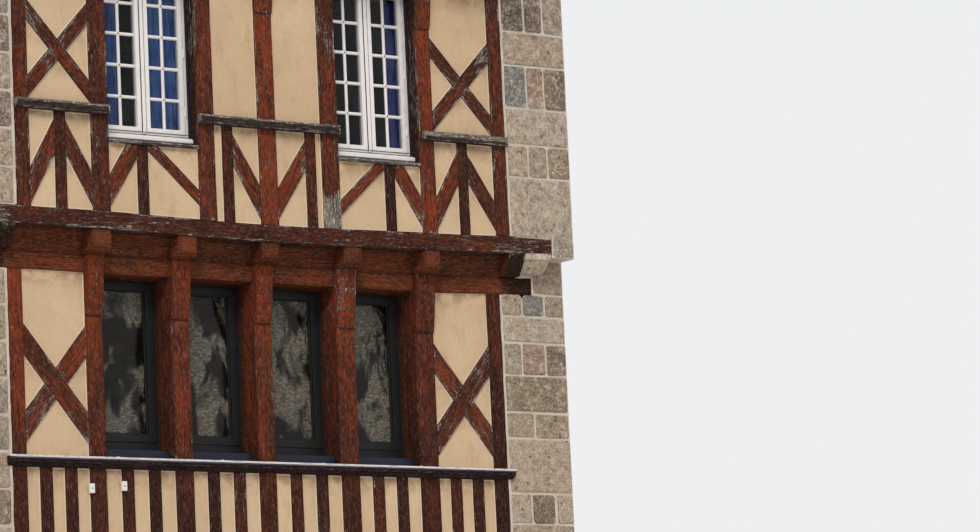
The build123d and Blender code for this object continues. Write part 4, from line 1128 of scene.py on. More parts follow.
class Layout:
    """Flat outlines of stones on wall faces, with a tint for each."""

    def __init__(self, seed):
        self.chance = random.Random(seed)
        self.bm = bmesh.new()
        self.tint = self.bm.verts.layers.float_color.new("stone")

    def stone(self, place, s, t, tint=None):
        """One outline with cut corners, between two values along s and t of the face."""
        half = JOINT / 2
        s, t = (s[0] + half, s[1] - half), (t[0] + half, t[1] - half)
        if s[1] - s[0] < LEAST_STONE or t[1] - t[0] < LEAST_STONE:
            return
        cut = min(CORNER, 0.3 * (s[1] - s[0]), 0.3 * (t[1] - t[0]))
        corners = []
        for a, da, b, db in ((s[0], 1, t[0], 1), (s[1], -1, t[0], 1),
                             (s[1], -1, t[1], -1), (s[0], 1, t[1], -1)):
            near = (a + da * self.chance.uniform(0.3, 1) * cut, b)
            far = (a, b + db * self.chance.uniform(0.3, 1) * cut)
            corners += [far, near] if da == db else [near, far]
        light = self.chance.uniform(0.84, 1.14)
        colour = [c * light for c in TINTS[tint or self.chance.choice(COMMON)][:3]] + [1.0]
        verts = []
        for a, b in corners:
            strayed = (a + self.chance.uniform(-STRAY, STRAY), b + self.chance.uniform(-STRAY, STRAY))
            vert = self.bm.verts.new(place(*strayed))
            vert[self.tint] = colour
            verts.append(vert)
        self.bm.faces.new(verts)

    def course(self, place, s, t, count, tints=()):
        """A course of stones of uneven widths."""
        shares = [self.chance.uniform(0.8, 1.2) for _ in range(count)]
        ends = np.cumsum([0] + shares) / sum(shares) * (s[1] - s[0]) + s[0]
        for number in range(count):
            tint = tints[number] if number < len(tints) else None
            self.stone(place, (ends[number], ends[number + 1]), t, tint)

    def coursed(self, place, s, t, height=(0.2, 0.32), width=(0.28, 0.62)):
        """Fill a whole rectangle with courses."""
        low = t[0]
        while t[1] - low > 0.05:
            high = low + self.chance.uniform(*height)
            if t[1] - high < 0.6 * height[0]:
                high = t[1]
            count = max(1, round((s[1] - s[0]) / self.chance.uniform(*width)))
            self.course(place, s, (low, high), count)
            low = high

    def clip(self, point, normal):
        """Take away what lies past a plane, and the slivers that this leaves."""
        slit(self.bm, point, normal, clear_outer=True)
        small = [f for f in self.bm.faces if f.calc_area() < SLIVER]
        bmesh.ops.delete(self.bm, geom=small, context="FACES")

    def build(self, name):
        """Raise all the outlines into one piece of stones."""
        mesh = bpy.data.meshes.new(f"{name}_outlines")
        self.bm.to_mesh(mesh)
        self.bm.free()
        values = {"Rise": STONE_RISE, "Rough": STONE_ROUGH, "Seed": STONE_SEED, "Stone": GRANITE}
        return grow(name, mesh, STONE_TREE, values, "granite")


def facing(axis, value, sign):
    """Where a point (s, t) of a wall face lies, for a face looking along that sign of an axis."""
    if axis == "y":
        return lambda s, t: (-sign * s, value, t)
    return lambda s, t: (value, sign * s, t)


print(len(TINTS), "tints of granite")


# %% [markdown]
# On the narrow street face three upright stones alternate with one wide block, which is how such a
# wall is bonded into its length. The picture shows these courses on the right wall, so their beds
# and tints are written down. The rest is left to chance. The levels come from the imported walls.

# %% The street end of a shared wall
STOREYS = ((0.0, 3.405, -3.1), (3.405, 6.345, -3.3), (6.345, 9.693, -3.5))      # foot, top, face
SOLE_HEIGHT, SOLE_REACH = 0.15, 2.955       # beams that end in the wall, and where they end
PLATE_HEIGHT, PLATE_DROP, PLATE_REACH = 0.15, 0.345, 2.85
BEAM_GAP = 0.012
BED = 0.31                                  # usual height of a course
SEEN_ROWS = {           # for each storey the level of each course's upper bed, and its tints
    1: ((3.961, ("sand",)), (4.236, ("pale", "dark", "pale")), (4.731, ("sand",)),
        (4.963, ("sand", "olive")), (5.297, ("olive",)), (5.59, ("grey", "rose", "dark")),
        (5.831, ("pale",)), (6.035, ("sand", "blue", "sand"))),
    2: ((7.058, ("pale",)), (7.355, ("sand", "grey", "olive")), (7.692, ("pale",)),
        (8.081, ("blue", "rose", "dark")), (8.393, ("sand",)), (8.75, ("dark", "dark", "grey")),
        (9.05, ("sand",)), (9.4, ("grey", "sand", "olive")), (9.693, ("pale",))),
}


def plain_rows(low, high):
    """Courses of one wide block and of three upright stones in turn."""
    count = round((high - low) / BED)
    return [(low + (high - low) * (n + 1) / count, 1 + 2 * (n % 2)) for n in range(count)]


def pier(walls, side, storey):
    """The narrow street end of a shared wall, round the ends of its beams."""
    foot, top, y = STOREYS[storey]
    place = facing("y", y, -1)

    def course(inner, low, high, stones):
        tints = stones if isinstance(stones, tuple) else ()
        span = (inner, WALL_OUT) if side > 0 else (-WALL_OUT, -inner)
        walls.course(place, span, (low, high), len(tints) or stones, tints)

    low = foot
    if storey:
        course(SOLE_REACH + BEAM_GAP, foot, foot + SOLE_HEIGHT + 0.02, 1)
        low = foot + SOLE_HEIGHT
    if side > 0 and storey in SEEN_ROWS:
        rows = SEEN_ROWS[storey]
    else:
        rows = plain_rows(low, top if storey == 2 else top - PLATE_DROP)
    for high, stones in rows:
        course(WALL_IN + 0.01, low, high, stones)
        low = high
    if storey < 2:
        course(PLATE_REACH + BEAM_GAP, low, top, 1)


print("courses seen:", {storey: len(rows) for storey, rows in SEEN_ROWS.items()})

# %% [markdown]
# Each storey's wall stands 0.2 m further forward than the one below, so the long side faces are
# filled storey by storey. The gable is filled as a rectangle and then cut to the roof's slope, as a
# stack of paper is trimmed to shape.

# %% The shared walls
BACK_Y = 3.5
PITCH = radians(48)
GABLE_FOOT = (3.5, 9.737)
GABLE_TOP = 12.902
ROOF_TOP = 13.37
INNER_GABLE = (0.03, 4.25)      # stones of the gable that show above the slates, along the slope
INNER_GABLE_HEIGHT = (0.012, 0.17)
INNER_GABLE_STONES = 9


def up_slope(fall):
    """The direction in which the slope on one side of the ridge climbs."""
    return Vector((0, -fall * cos(PITCH), sin(PITCH)))


def out_of_slope(fall):
    """The direction square to that slope."""
    return Vector((0, fall * sin(PITCH), cos(PITCH)))


def shared_wall(side):
    walls = Layout(f"wall{side}")
    flank = facing("x", side * WALL_OUT, side)
    for foot, top, y in STOREYS[:2]:
        walls.coursed(flank, sorted((side * y, side * BACK_Y)), (foot, top))
    walls.coursed(flank, (-BACK_Y, BACK_Y), (STOREYS[2][0], GABLE_TOP))
    for fall in (-1, 1):
        walls.clip((0, fall * GABLE_FOOT[0], GABLE_FOOT[1]), out_of_slope(fall))
    for storey in range(3):
        pier(walls, side, storey)
    walls.coursed(facing("y", BACK_Y, 1), sorted((-side * WALL_IN, -side * WALL_OUT)), (0, STOREYS[2][1]),
                  width=(0.22, 0.7))
    for fall in (-1, 1):
        up, out = up_slope(fall), out_of_slope(fall)
        foot = Vector((side * WALL_IN, fall * GABLE_FOOT[0], ROOF_TOP - GABLE_FOOT[0] * tan(PITCH)))
        turn = 1 if up.cross(out).x * side < 0 else -1
        ends = sorted(end * turn for end in INNER_GABLE)
        walls.course(lambda s, t: foot + up * (s * turn) + out * t, ends, INNER_GABLE_HEIGHT,
                     INNER_GABLE_STONES)
    walls.build("left_wall_stones" if side < 0 else "right_wall_stones")


shared_wall(-1)
shared_wall(1)

# %% [markdown]
# Chimney stacks and plinths are the same masonry in other sizes: small stones up on the stacks,
# where each had to be carried, and big ones at the foot of the house. The layout class already knows
# how to fill a rectangle, so each face is one more call.

# %% Chimney and plinth stones
STACK_IN, STACK_OUT, STACK_HALF = 2.54, 3.16, 0.65
CAP_FOOT = 14.374
STACK_LEVELS = (GABLE_TOP + 0.11, CAP_FOOT)
PLINTH_TOP, PLINTH_Y = 0.62, -3.16
DOORWAY = (0.087, 1.018)

stacks = Layout("stacks")
for side in (-1, 1):
    faces = [(facing("x", side * x, sign), (-STACK_HALF, STACK_HALF))
             for sign, x in ((side, STACK_OUT), (-side, STACK_IN))]
    for sign in (-1, 1):
        span = sorted((-sign * side * STACK_IN, -sign * side * STACK_OUT))
        faces.append((facing("y", sign * STACK_HALF, sign), span))
    for place, span in faces:
        stacks.coursed(place, span, STACK_LEVELS, (0.16, 0.24), (0.2, 0.4))
stacks.build("chimney_stones")

plinth = Layout("plinth")
front, back = facing("y", PLINTH_Y, -1), facing("y", BACK_Y, 1)
for place, span in ((front, (-WALL_IN, DOORWAY[0])), (front, (DOORWAY[1], WALL_IN)),
                    (back, (-WALL_IN, WALL_IN))):
    plinth.coursed(place, span, (0.0, PLINTH_TOP), (0.28, 0.34), (0.4, 0.8))
plinth.build("plinth_stones")

# %% [markdown]
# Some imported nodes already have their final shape: the glass, the lead, the pots, and the walls that
# now show only as mortar between the stones. They stay as they are and only get a finish.

# %% Nodes that keep their shape
KEPT = ((MORTAR, ("left_party_wall", "right_party_wall", "chimney_stacks", "granite_plinths")),
        (CUT_GRANITE, ("ground_floor_slab",)), (PLASTER, ("first_inner_lining",)),
        (SLATE, ("front_roof_slope", "back_roof_slope")), (CLAY, ("chimney_pots",)),
        (GLASS, ("white_window_glass",)), (DUSTY_REFLECTING_GLASS, ("first_window_glass",)),
        (BRASS, ("curtain_rods",)), (LEAD, ("first_rail_flashing",)))

for finish, names in KEPT:
    for name in names:
        nodes[name].data.materials.clear()
        nodes[name].data.materials.append(finish)
print(sum(len(names) for _, names in KEPT), "nodes keep their shape")


# %% [markdown]
# Dressed stone has clean sawn faces and fine joints: the copings on the gables, the corbels, the
# doorstep and the caps of the chimneys. Long ones are cut into lengths that a mason could lift, and
# every arris is worn round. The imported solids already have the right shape, so a cut and a soft
# edge are all that they need.

# %% Dressed stone
STONE_LENGTH = 0.7
STONE_GAP = 0.006


def lengths_of(part, along):
    """Cut a straight solid into lengths with a gap between them."""
    reach = [v.co.dot(along) for v in part.verts]
    low, high = min(reach), max(reach)
    count = max(1, round((high - low) / STONE_LENGTH))
    step = (high - low) / count
    for number in range(count):
        length = part.copy()
        if number > 0:
            cut_off(length, along * (low + step * number + STONE_GAP / 2), -along)
        if number < count - 1:
            cut_off(length, along * (low + step * (number + 1) - STONE_GAP / 2), along)
        yield length


def slope_of(part):
    """The direction in which a coping climbs."""
    return up_slope(1 if sum(v.co.y for v in part.verts) > 0 else -1)


def dressed(name, node, finish, arris, along=None, extra=()):
    """Soft edged copies of a node's solids, cut into lengths if along is given, and extra blocks."""
    stock = Stock()
    for part in solids_of(node):
        for length in lengths_of(part, along(part)) if along else [part]:
            soften(length, arris)
            stock.take(length)
    for part in extra:
        soften(part, arris)
        stock.take(part)
    stock.piece(name, finish, "cut_granite", [node])


print("stones are cut to about", STONE_LENGTH, "m")

# %% [markdown]
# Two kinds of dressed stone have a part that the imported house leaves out. A slab lies on each
# chimney, a little wider than the stack, and each corbel has a lip under its upper edge. Both are
# plain blocks, so they are added to the piece that they belong to. The door step needs no more than
# a rounder edge than the others, where feet have worn it.

# %% Copings, corbels and door step
WALL_MIDDLE = 2.85
CAP_HALF = Vector((0.354, 0.694, 0))
CAP_TOP = 14.508
CAP_SEAT = 0.004                # how far a cap reaches down into the stack
LIP = 0.012
LIP_LEVELS = (0.060, 0.001)     # its lower and upper edge, below the corbel's top

caps = []
for side in (-1, 1):
    middle = Vector((side * WALL_MIDDLE, 0, 0))
    foot, top = AXES[2] * (CAP_FOOT - CAP_SEAT), AXES[2] * CAP_TOP
    caps.append(block(middle - CAP_HALF + foot, middle + CAP_HALF + top))
dressed("gable_coping_stones", "gable_copings", CUT_GRANITE, 0.006, slope_of, caps)

lips = []
for part in solids_of("corbel_stones"):
    low, high = box_of(part)
    lips.append(block((low[0] - LIP, low[1] - LIP, high[2] - LIP_LEVELS[0]),
                      (high[0] + LIP, high[1], high[2] - LIP_LEVELS[1])))
dressed("carved_corbels", "corbel_stones", PALE_GRANITE, 0.007, extra=lips)
dressed("worn_door_step", "door_step", CUT_GRANITE, 0.012)


# %% [markdown]
# Lime mortar also fills the corners where timber meets granite: beside the last post, and at the
# ends of the beams that enter the wall. Each fillet is a thin strip, cut across at short steps and
# then pushed about by noise, because mortar is pressed in with a thumb and never lies straight.

# %% Mortar fillets
FILLET_WIDTH = 0.018
FILLET_FRONT, FILLET_BACK = 0.006, 0.010    # in front of the wall's face, and behind it
FILLET_STEP = 0.08
FILLET_END = 0.005
POST_OVERLAP = 0.004
SECOND_PLATE = 8.690                        # foot of the second floor's wall plate

fillets = Stock()


def fillet(side, y, reach, levels, seed, overlap=0.0):
    """A thin uneven strip of mortar beside a timber that ends at reach."""
    low, high = corners_of((side * (reach - overlap), y - FILLET_FRONT, levels[0]),
                           (side * (reach + FILLET_WIDTH), y + FILLET_BACK, levels[1]))
    strip = block(low, high)
    for step in range(1, max(2, int((high - low).z / FILLET_STEP))):
        slit(strip, low + AXES[2] * (FILLET_STEP * step), AXES[2])
    for v in strip.verts:
        shift = noise.noise_vector(v.co * 9 + AXES[0] * seed)
        v.co += Vector((shift.x * 0.006, shift.y * 0.002, shift.z * 0.004))
    fillets.take(strip)


for side in (-1, 1):
    for storey, (foot, top, y) in enumerate(STOREYS):
        sole = foot + SOLE_HEIGHT
        plate = top - PLATE_DROP if storey < 2 else SECOND_PLATE
        post_foot = sole + FILLET_END if storey else foot
        fillet(side, y, WALL_IN, (post_foot, plate - FILLET_END), side + storey, POST_OVERLAP)
        if storey:
            fillet(side, y, SOLE_REACH, (foot, sole), side - storey)
        if storey < 2:
            fillet(side, y, PLATE_REACH, (plate, plate + PLATE_HEIGHT), side * 3)
fillets.piece("mortar_fillets", MORTAR, "granite")


# %% [markdown]
# A slate roof is one small piece many times over. The tree first lays a grid of points on the slope.
# Every second row is shifted by half a slate, so that no joint lies over another, and chance moves
# each point a few millimetres more. Chance has numbered streams here, so each use of it gets values
# of its own and they stay the same in every run.

# %% Points for the slates
SLATE_WIDTH, SLATE_LENGTH, SLATE_THICK = 0.22, 0.17, 0.006
SLATE_GAP = 0.004
TAIL_LIFT = 0.008               # a slate's tail rests on the row below
SLATE_ROWS, SLATE_COLUMNS = 48, 24
SLATE_SEED = 7
EAVES_Y = 3.82
ROOF_LENGTH = EAVES_Y / cos(PITCH)


class Slope(Form):
    """The tree of a slated slope."""

    def chance(self, low, high, stream):
        """A random value for each slate, from a stream of its own."""
        index = self.node("GeometryNodeInputIndex").outputs[0]
        seed = self.plus(self.given["Seed"], stream)
        made = self.node("FunctionNodeRandomValue", {"ID": index, "Seed": seed, 2: low, 3: high},
                         data_type="FLOAT")
        return made.outputs[1]

    def points(self):
        """A point for each slate, in rows that are shifted by half a slate in turn."""
        width, length = self.given["Slate Width"], self.given["Slope Length"]
        rows, columns = self.given["Rows"], self.given["Columns"]
        pitch = self.maths("DIVIDE", length, rows)
        grid = self.node("GeometryNodeMeshGrid", {
            "Size X": self.times(width, self.maths("SUBTRACT", columns, 1)),
            "Size Y": self.maths("SUBTRACT", length, pitch), "Vertices X": columns, "Vertices Y": rows})
        place = self.node("GeometryNodeInputPosition").outputs[0]
        up = self.node("ShaderNodeSeparateXYZ", {0: place}).outputs[1]
        row = self.maths("ROUND", self.maths("DIVIDE", self.plus(up, self.times(length, 0.5)), pitch))
        odd = self.maths("SUBTRACT", self.maths("FLOORED_MODULO", row, 2.0), 0.5)
        slide = self.plus(self.times(odd, self.times(width, 0.5)), self.chance(-0.004, 0.004, 1))
        lift = self.plus(self.times(self.given["Tail Lift"], 0.5), self.times(self.given["Thickness"], 0.5))
        shift = self.node("ShaderNodeCombineXYZ", {0: slide, 1: self.chance(0.022, 0.028, 2), 2: lift})
        return self.node("GeometryNodeSetPosition", {"Geometry": grid.outputs[0],
                                                     "Offset": shift.outputs[0]}).outputs[0]


print(SLATE_ROWS * SLATE_COLUMNS, "slates on a slope of", round(ROOF_LENGTH, 3), "m")

# %% [markdown]
# A thin box is then put on every point, tilted so that its tail lies on the row below. Instances keep
# this light: Blender holds one slate and a list of places until the end. The finished slope is cut
# off at both walls, as a slater trims the last slate of each row.

# %% Slates
def slate_tree():
    g = Slope("slated_slope", {
        "Slate Width": SLATE_WIDTH, "Slate Length": SLATE_LENGTH, "Thickness": SLATE_THICK,
        "Slope Length": ROOF_LENGTH, "Rows": SLATE_ROWS, "Columns": SLATE_COLUMNS,
        "Tail Lift": TAIL_LIFT, "Place": (0, 0, 0), "Turn": (0, 0, 0), "Seed": SLATE_SEED, "Slate": None})
    given = g.given
    size = g.node("ShaderNodeCombineXYZ", {0: g.maths("SUBTRACT", given["Slate Width"], SLATE_GAP),
                                           1: given["Slate Length"], 2: given["Thickness"]})
    piece = g.node("GeometryNodeMeshCube", {"Size": size.outputs[0]})
    rise = g.maths("DIVIDE", given["Tail Lift"], given["Slate Length"])
    tilt = g.times(g.maths("ARCTANGENT", rise), -1.0)
    turn = g.node("ShaderNodeCombineXYZ", {0: tilt, 1: g.chance(-0.006, 0.006, 3),
                                           2: g.chance(-0.012, 0.012, 4)})
    laid = g.node("GeometryNodeInstanceOnPoints", {"Points": g.points(), "Instance": piece.outputs[0],
                                                   "Rotation": turn.outputs[0]})
    shaded = g.node("GeometryNodeStoreNamedAttribute", {"Geometry": laid.outputs[0], "Name": "shade",
                                                        "Value": g.chance(0.0, 1.0, 5)},
                    data_type="FLOAT", domain="INSTANCE")
    real = g.node("GeometryNodeRealizeInstances", {"Geometry": shaded.outputs[0]})
    whole = g.node("GeometryNodeTransform", {"Geometry": real.outputs[0], "Translation": given["Place"],
                                             "Rotation": given["Turn"]})
    return g.end(whole.outputs[0], given["Slate"])


def trim(piece, reach):
    """Cut a piece off at both walls and close the cuts."""
    cut = bmesh.new()
    cut.from_mesh(piece.data)
    for side in (-1, 1):
        cut_off(cut, (side * reach, 0, 0), (side, 0, 0))
    cut.to_mesh(piece.data)
    cut.free()


SLATE_TREE = slate_tree()
for name, fall, turn in (("front_slates", -1, 0.0), ("back_slates", 1, pi)):
    middle = (0.0, fall * EAVES_Y / 2, ROOF_TOP - EAVES_Y / 2 * tan(PITCH))
    values = {"Slope Length": ROOF_LENGTH, "Place": middle, "Turn": (PITCH, 0.0, turn),
              "Seed": SLATE_SEED + fall, "Slate": SLATE}
    slates = grow(name, bpy.data.meshes.new(f"{name}_seed"), SLATE_TREE, values, "slate")
    trim(slates, WALL_IN + 0.004)


# %% [markdown]
# Half round clay tiles cover the ridge. Each has a collar at one end that laps over the next tile.
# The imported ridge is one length. A bent grid with a thickness would do for a plain tile, but the
# collar needs its own steps, so the rings of points are placed one by one.

# %% Ridge tiles
RIDGE_CENTRE, RIDGE_RADIUS, RIDGE_THICK = 13.331, 0.110, 0.014
RIDGE_SWEEP = radians(122)
RIDGE_TILES, RIDGE_STEPS = 14, 16
TILE_LENGTH = 2 * WALL_IN / RIDGE_TILES
TILE_RINGS = ((-0.02, 0.004), (0.03, 0.004), (0.034, -0.006), (TILE_LENGTH, -0.009))


def arc(tile, x, radius):
    """A row of points over the ridge, from one side to the other."""
    angles = [-RIDGE_SWEEP + 2 * RIDGE_SWEEP * step / RIDGE_STEPS for step in range(RIDGE_STEPS + 1)]
    return [tile.verts.new((x, radius * sin(a), RIDGE_CENTRE + radius * cos(a))) for a in angles]


def ridge_tile(start):
    """One tile with its collar. Each ring has a place along the tile and a swelling."""
    tile = bmesh.new()
    outer, inside = [], []
    for run, swell in TILE_RINGS:
        x = max(start + run, -WALL_IN)
        outer.append(arc(tile, x, RIDGE_RADIUS + swell))
        inside.append(arc(tile, x, RIDGE_RADIUS + swell - RIDGE_THICK))
    for n in range(RIDGE_STEPS):
        for a, b in zip(outer, outer[1:]):
            tile.faces.new((a[n], b[n], b[n + 1], a[n + 1]))
        for a, b in zip(inside, inside[1:]):
            tile.faces.new((a[n], a[n + 1], b[n + 1], b[n]))
        tile.faces.new((outer[0][n], outer[0][n + 1], inside[0][n + 1], inside[0][n]))
        tile.faces.new((outer[-1][n], inside[-1][n], inside[-1][n + 1], outer[-1][n + 1]))
    for end in (0, RIDGE_STEPS):
        for a, b, c, d in zip(outer, outer[1:], inside[1:], inside):
            tile.faces.new((a[end], b[end], c[end], d[end]))
    bmesh.ops.recalc_face_normals(tile, faces=tile.faces)
    return tile


ridge = Stock()
for number in range(RIDGE_TILES):
    tile = ridge_tile(-WALL_IN + number * TILE_LENGTH)
    ridge.take(tile, shade=[random.Random(number).random()] * len(tile.verts))
ridge.piece("ridge_tile_row", CLAY, "clay", ["ridge_tiles"])


# %% [markdown]
# Joinery comes down to three shapes: a board, a moulding that runs round an opening, and a round
# rod. The board is a block. The other two get a helper each, as ring shaped and round things are
# tiresome to write out point by point for every window.

# %% Mouldings and rods
def spans(low, high, by=0.0):
    """The x and z spans of an opening, made smaller on each side."""
    return (low[0] + by, high[0] - by), (low[2] + by, high[2] - by)


def ring_frame(x, z, width, y):
    """A four sided moulding. y is (wall side, outer side), width runs outward from x and z."""
    ring = bmesh.new()
    loops = []
    for depth in y:
        for grow_by in (width, 0.0):
            loops.append([ring.verts.new((x[i] + (grow_by if i else -grow_by), depth,
                                          z[k] + (grow_by if k else -grow_by)))
                          for i, k in ((0, 0), (1, 0), (1, 1), (0, 1))])
    back_out, back_in, front_out, front_in = loops
    for a, b in ((back_out, back_in), (front_in, front_out), (back_in, front_in), (front_out, back_out)):
        for n in range(4):
            ring.faces.new((a[n], a[(n + 1) % 4], b[(n + 1) % 4], b[n]))
    bmesh.ops.recalc_face_normals(ring, faces=ring.faces)
    return ring


def rod(a, b, radius, sides=12):
    """A round bar between two points."""
    a, b = Vector(a), Vector(b)
    bar = bmesh.new()
    turn = (b - a).to_track_quat("Z", "Y").to_matrix().to_4x4()
    bmesh.ops.create_cone(bar, cap_ends=True, segments=sides, radius1=radius, radius2=radius,
                          depth=(b - a).length, matrix=Matrix.Translation((a + b) / 2) @ turn)
    return bar


print("joinery helpers ready")

# %% [markdown]
# The white windows have two leaves to a frame, and everything on a leaf is measured from its pane.
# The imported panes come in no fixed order. Sorted by side, level and place along the wall, each pane
# is followed by its neighbour in the same frame. A check makes sure of it, since one wrong pair would
# put a cover strip across the wall.

# %% Panes in pairs
def sight(low):
    """The sign of Y towards which something on the front or the back looks."""
    return 1 if low[1] > 0 else -1


panes = [box_of(part) for part in solids_of("white_window_glass")]
panes.sort(key=lambda pane: (sight(pane[0]), round(float(pane[0][2]), 1), pane[0][0]))
pairs = list(zip(panes[0::2], panes[1::2]))
for a, b in pairs:
    stile = b[0][0] - a[1][0]
    assert abs(a[0][1] - b[0][1]) < 0.01 and 0.05 < stile < 0.2, "panes of two windows paired"
print(len(panes), "panes make", len(pairs), "windows")

# %% [markdown]
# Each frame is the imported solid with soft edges. A board at its foot slopes forward to throw off the
# rain, and dark lines show where frame, board and leaf meet. In a photo such a joint is a shadow
# about a pixel wide. A thin dark strip gives the same line without cutting the frame.

# %% White frames
BOARD_FOOT, BOARD_TOP, BOARD_REACH = 0.027, 0.076, 0.042
BOARD_FALL = 0.016
FRAME_EDGE = 0.016
LINE = 0.0015                   # how far a dark line stands proud

white, edging = Stock(), Stock()
for part in solids_of("white_window_frames"):
    low, high = box_of(part)
    out = sight(low)
    face = high[1] if out > 0 else low[1]
    board = block((low[0] + 0.004, face, low[2] + BOARD_FOOT),
                  (high[0] - 0.004, face + out * BOARD_REACH, low[2] + BOARD_TOP))
    for v in board.verts:
        if v.co.z > low[2] + 0.05 and abs(v.co.y - face) > 0.01:
            v.co.z -= BOARD_FALL
    soften(board, 0.006)
    white.take(board)
    # A dark bead round the frame: blue black paint, and a painted shadow along the reveal.
    edging.take(ring_frame((low[0] + FRAME_EDGE, high[0] - FRAME_EDGE),
                           (low[2] + BOARD_FOOT, high[2] - FRAME_EDGE), 0.0155,
                           (face - out * 0.003, face + out * 0.004)))
    # Two dark strips along the board: painted shadow lines.
    for rise in (0.001, 0.024):
        level = low[2] + BOARD_TOP + rise
        edging.box((low[0] + 0.03, face, level), (high[0] - 0.03, face + out * LINE, level + 0.006))
    soften(part, 0.005)
    white.take(part)
print(len(white.verts), "points in frames and boards")

# %% [markdown]
# A raised moulding runs round each pane. The glazing bars are first drawn as plain edges, one for
# each bar, and a tree turns every edge into a bar with chamfered sides. One width then serves all
# windows, and a bar can be moved without remaking it. The picture shows where the bars of the
# upper front windows are.

# %% Leaves and glazing bars
MOULDING = 0.040
LEAF_FACE = 0.0275              # a leaf's face, from the middle of its glass
BAR = 0.028
CHAMFER = 0.24
TENON = 0.01                    # how far a bar runs on into the moulding
WIDE_PANE = 0.25                # wider panes have an upright bar
PANE_PITCH = 0.272
SEEN_BARS = {-1.523: 7.523, -1.093: 7.523, 0.782: 7.549, 1.202: 7.549}  # pane's left edge: first bar


def bar_levels(low, high):
    """Levels of a pane's cross bars, from the picture where it shows them."""
    first = SEEN_BARS.get(round(float(low[0]), 3))
    if first and sight(low) < 0 and low[2] > 7:
        return [first + PANE_PITCH * n for n in range(4)]
    rows = max(2, round((high[2] - low[2]) / PANE_PITCH))
    return [low[2] + (high[2] - low[2]) * n / rows for n in range(1, rows)]


def bar_tree():
    """Every edge becomes a straight bar of one profile."""
    g = Form("glazing_bars", {"Bar Width": BAR, "Paint": None})
    width = g.given["Bar Width"]
    lines = g.node("GeometryNodeMeshToCurve", {"Mesh": g.given["Geometry"]})
    profile = g.node("GeometryNodeCurvePrimitiveQuadrilateral", {"Width": width, "Height": width})
    shaped = g.node("GeometryNodeFilletCurve", {"Curve": profile.outputs[0],
                                                "Radius": g.times(width, CHAMFER)})
    bars = g.node("GeometryNodeCurveToMesh", {"Curve": lines.outputs[0], "Fill Caps": True,
                                              "Profile Curve": shaped.outputs[0]})
    return g.end(bars.outputs[0], g.given["Paint"])


bar_lines = bmesh.new()
for low, high in panes:
    out = sight(low)
    glass = (low[1] + high[1]) / 2
    face = glass + out * LEAF_FACE
    leaf = ring_frame(*spans(low, high), MOULDING, (face - out * 0.004, face + out * 0.009))
    soften(leaf, 0.003, 1)
    white.take(leaf)
    ends = [((low[0] - TENON, glass, z), (high[0] + TENON, glass, z)) for z in bar_levels(low, high)]
    if high[0] - low[0] > WIDE_PANE:
        middle = (low[0] + high[0]) / 2
        ends.append(((middle, glass, low[2] - TENON), (middle, glass, high[2] + TENON)))
    for a, b in ends:
        bar_lines.edges.new((bar_lines.verts.new(a), bar_lines.verts.new(b)))
print(len(bar_lines.edges), "glazing bars")

# %% [markdown]
# A cover strip hides the joint between the two leaves, with a dark strip on each side of it as a painted
# shadow line, and three hinges sit at either edge. Then the stocks become pieces, and the tree is run on the
# lines.

# %% White windows
for a, b in pairs:
    out = sight(a[0])
    face = (a[0][1] + a[1][1]) / 2 + out * LEAF_FACE
    foot, head = a[0][2], a[1][2]
    left, middle, right = a[0][0], (a[1][0] + b[0][0]) / 2, b[1][0]
    white.box((middle - 0.017, face, foot - 0.055), (middle + 0.017, face + out * 0.016, head + 0.03),
              0.007, 3)
    # Dark strips beside the cover strip and at the leaves' outer edges: painted shadow lines.
    for x, depth in ((middle - 0.0215, 0.0105), (middle + 0.0175, 0.0105),
                     (left - 0.0445, LINE), (right + 0.0405, LINE)):
        edging.box((x, face, foot - 0.04), (x + 0.004, face + out * depth, head + 0.03))
    for x in (left - 0.048, right + 0.048):
        for share in (0.12, 0.5, 0.88):
            pin = Vector((x, face + out * 0.004, foot + (head - foot) * share))
            white.take(rod(pin - AXES[2] * 0.04, pin + AXES[2] * 0.04, 0.007))
white.piece("white_casements", WHITE, "white_paint", ["white_window_frames"])
edging.piece("dark_window_edging", BLUE_BLACK_AND_SHADOW, "dark_paint")
bar_mesh = bpy.data.meshes.new("bar_lines")
bar_lines.to_mesh(bar_mesh)
bar_lines.free()
grow("white_glazing_bars", bar_mesh, bar_tree(), {"Bar Width": BAR, "Paint": WHITE}, "white_paint")

# %% [markdown]
# The first floor's windows are single dark panes in dark frames. A broad leaf and a thin bead run
# round each pane, and an oak lining closes the reveal in front of the frame, where the photo shows
# brown wood. All are rings again, so only their widths and depths change.

# %% Dark windows of the first floor
DARK_LEAF, LEAF_DEPTHS = 0.066, (-3.056, -3.070)
DARK_BEAD, BEAD_DEPTHS = 0.014, (-3.03, -3.052)
REVEAL = 0.012

dark, reveals, sills = Stock(), Stock(), Stock()
for part in solids_of("first_window_frames"):
    soften(part, 0.004)
    dark.take(part)
for part in solids_of("first_window_glass"):
    low, high = box_of(part)
    leaf = ring_frame(*spans(low, high), DARK_LEAF, LEAF_DEPTHS)
    soften(leaf, 0.004)
    dark.take(leaf)
    bead = ring_frame(*spans(low, high, 0.012), DARK_BEAD, BEAD_DEPTHS)
    soften(bead, 0.003, 1)
    dark.take(bead)
dark.piece("dark_casements", DARK, "dark_paint", ["first_window_frames"])

for part in solids_of("first_window_frames"):
    low, high = box_of(part)
    lining = ring_frame(*spans(low, high, REVEAL), REVEAL - 0.001, (low[1] + 0.004, low[1] - 0.061))
    border = ring_frame(*spans(low, high, 0.002), 0.03, (low[1] - 0.059, low[1] - 0.066))
    for ring in (lining, border):
        reveals.take(ring, grain=[tuple(v.co) for v in ring.verts],
                     look=[(0.0, 0.2, 0.0)] * len(ring.verts))
reveals.piece("window_reveals", BROWN_OAK, "painted_oak")

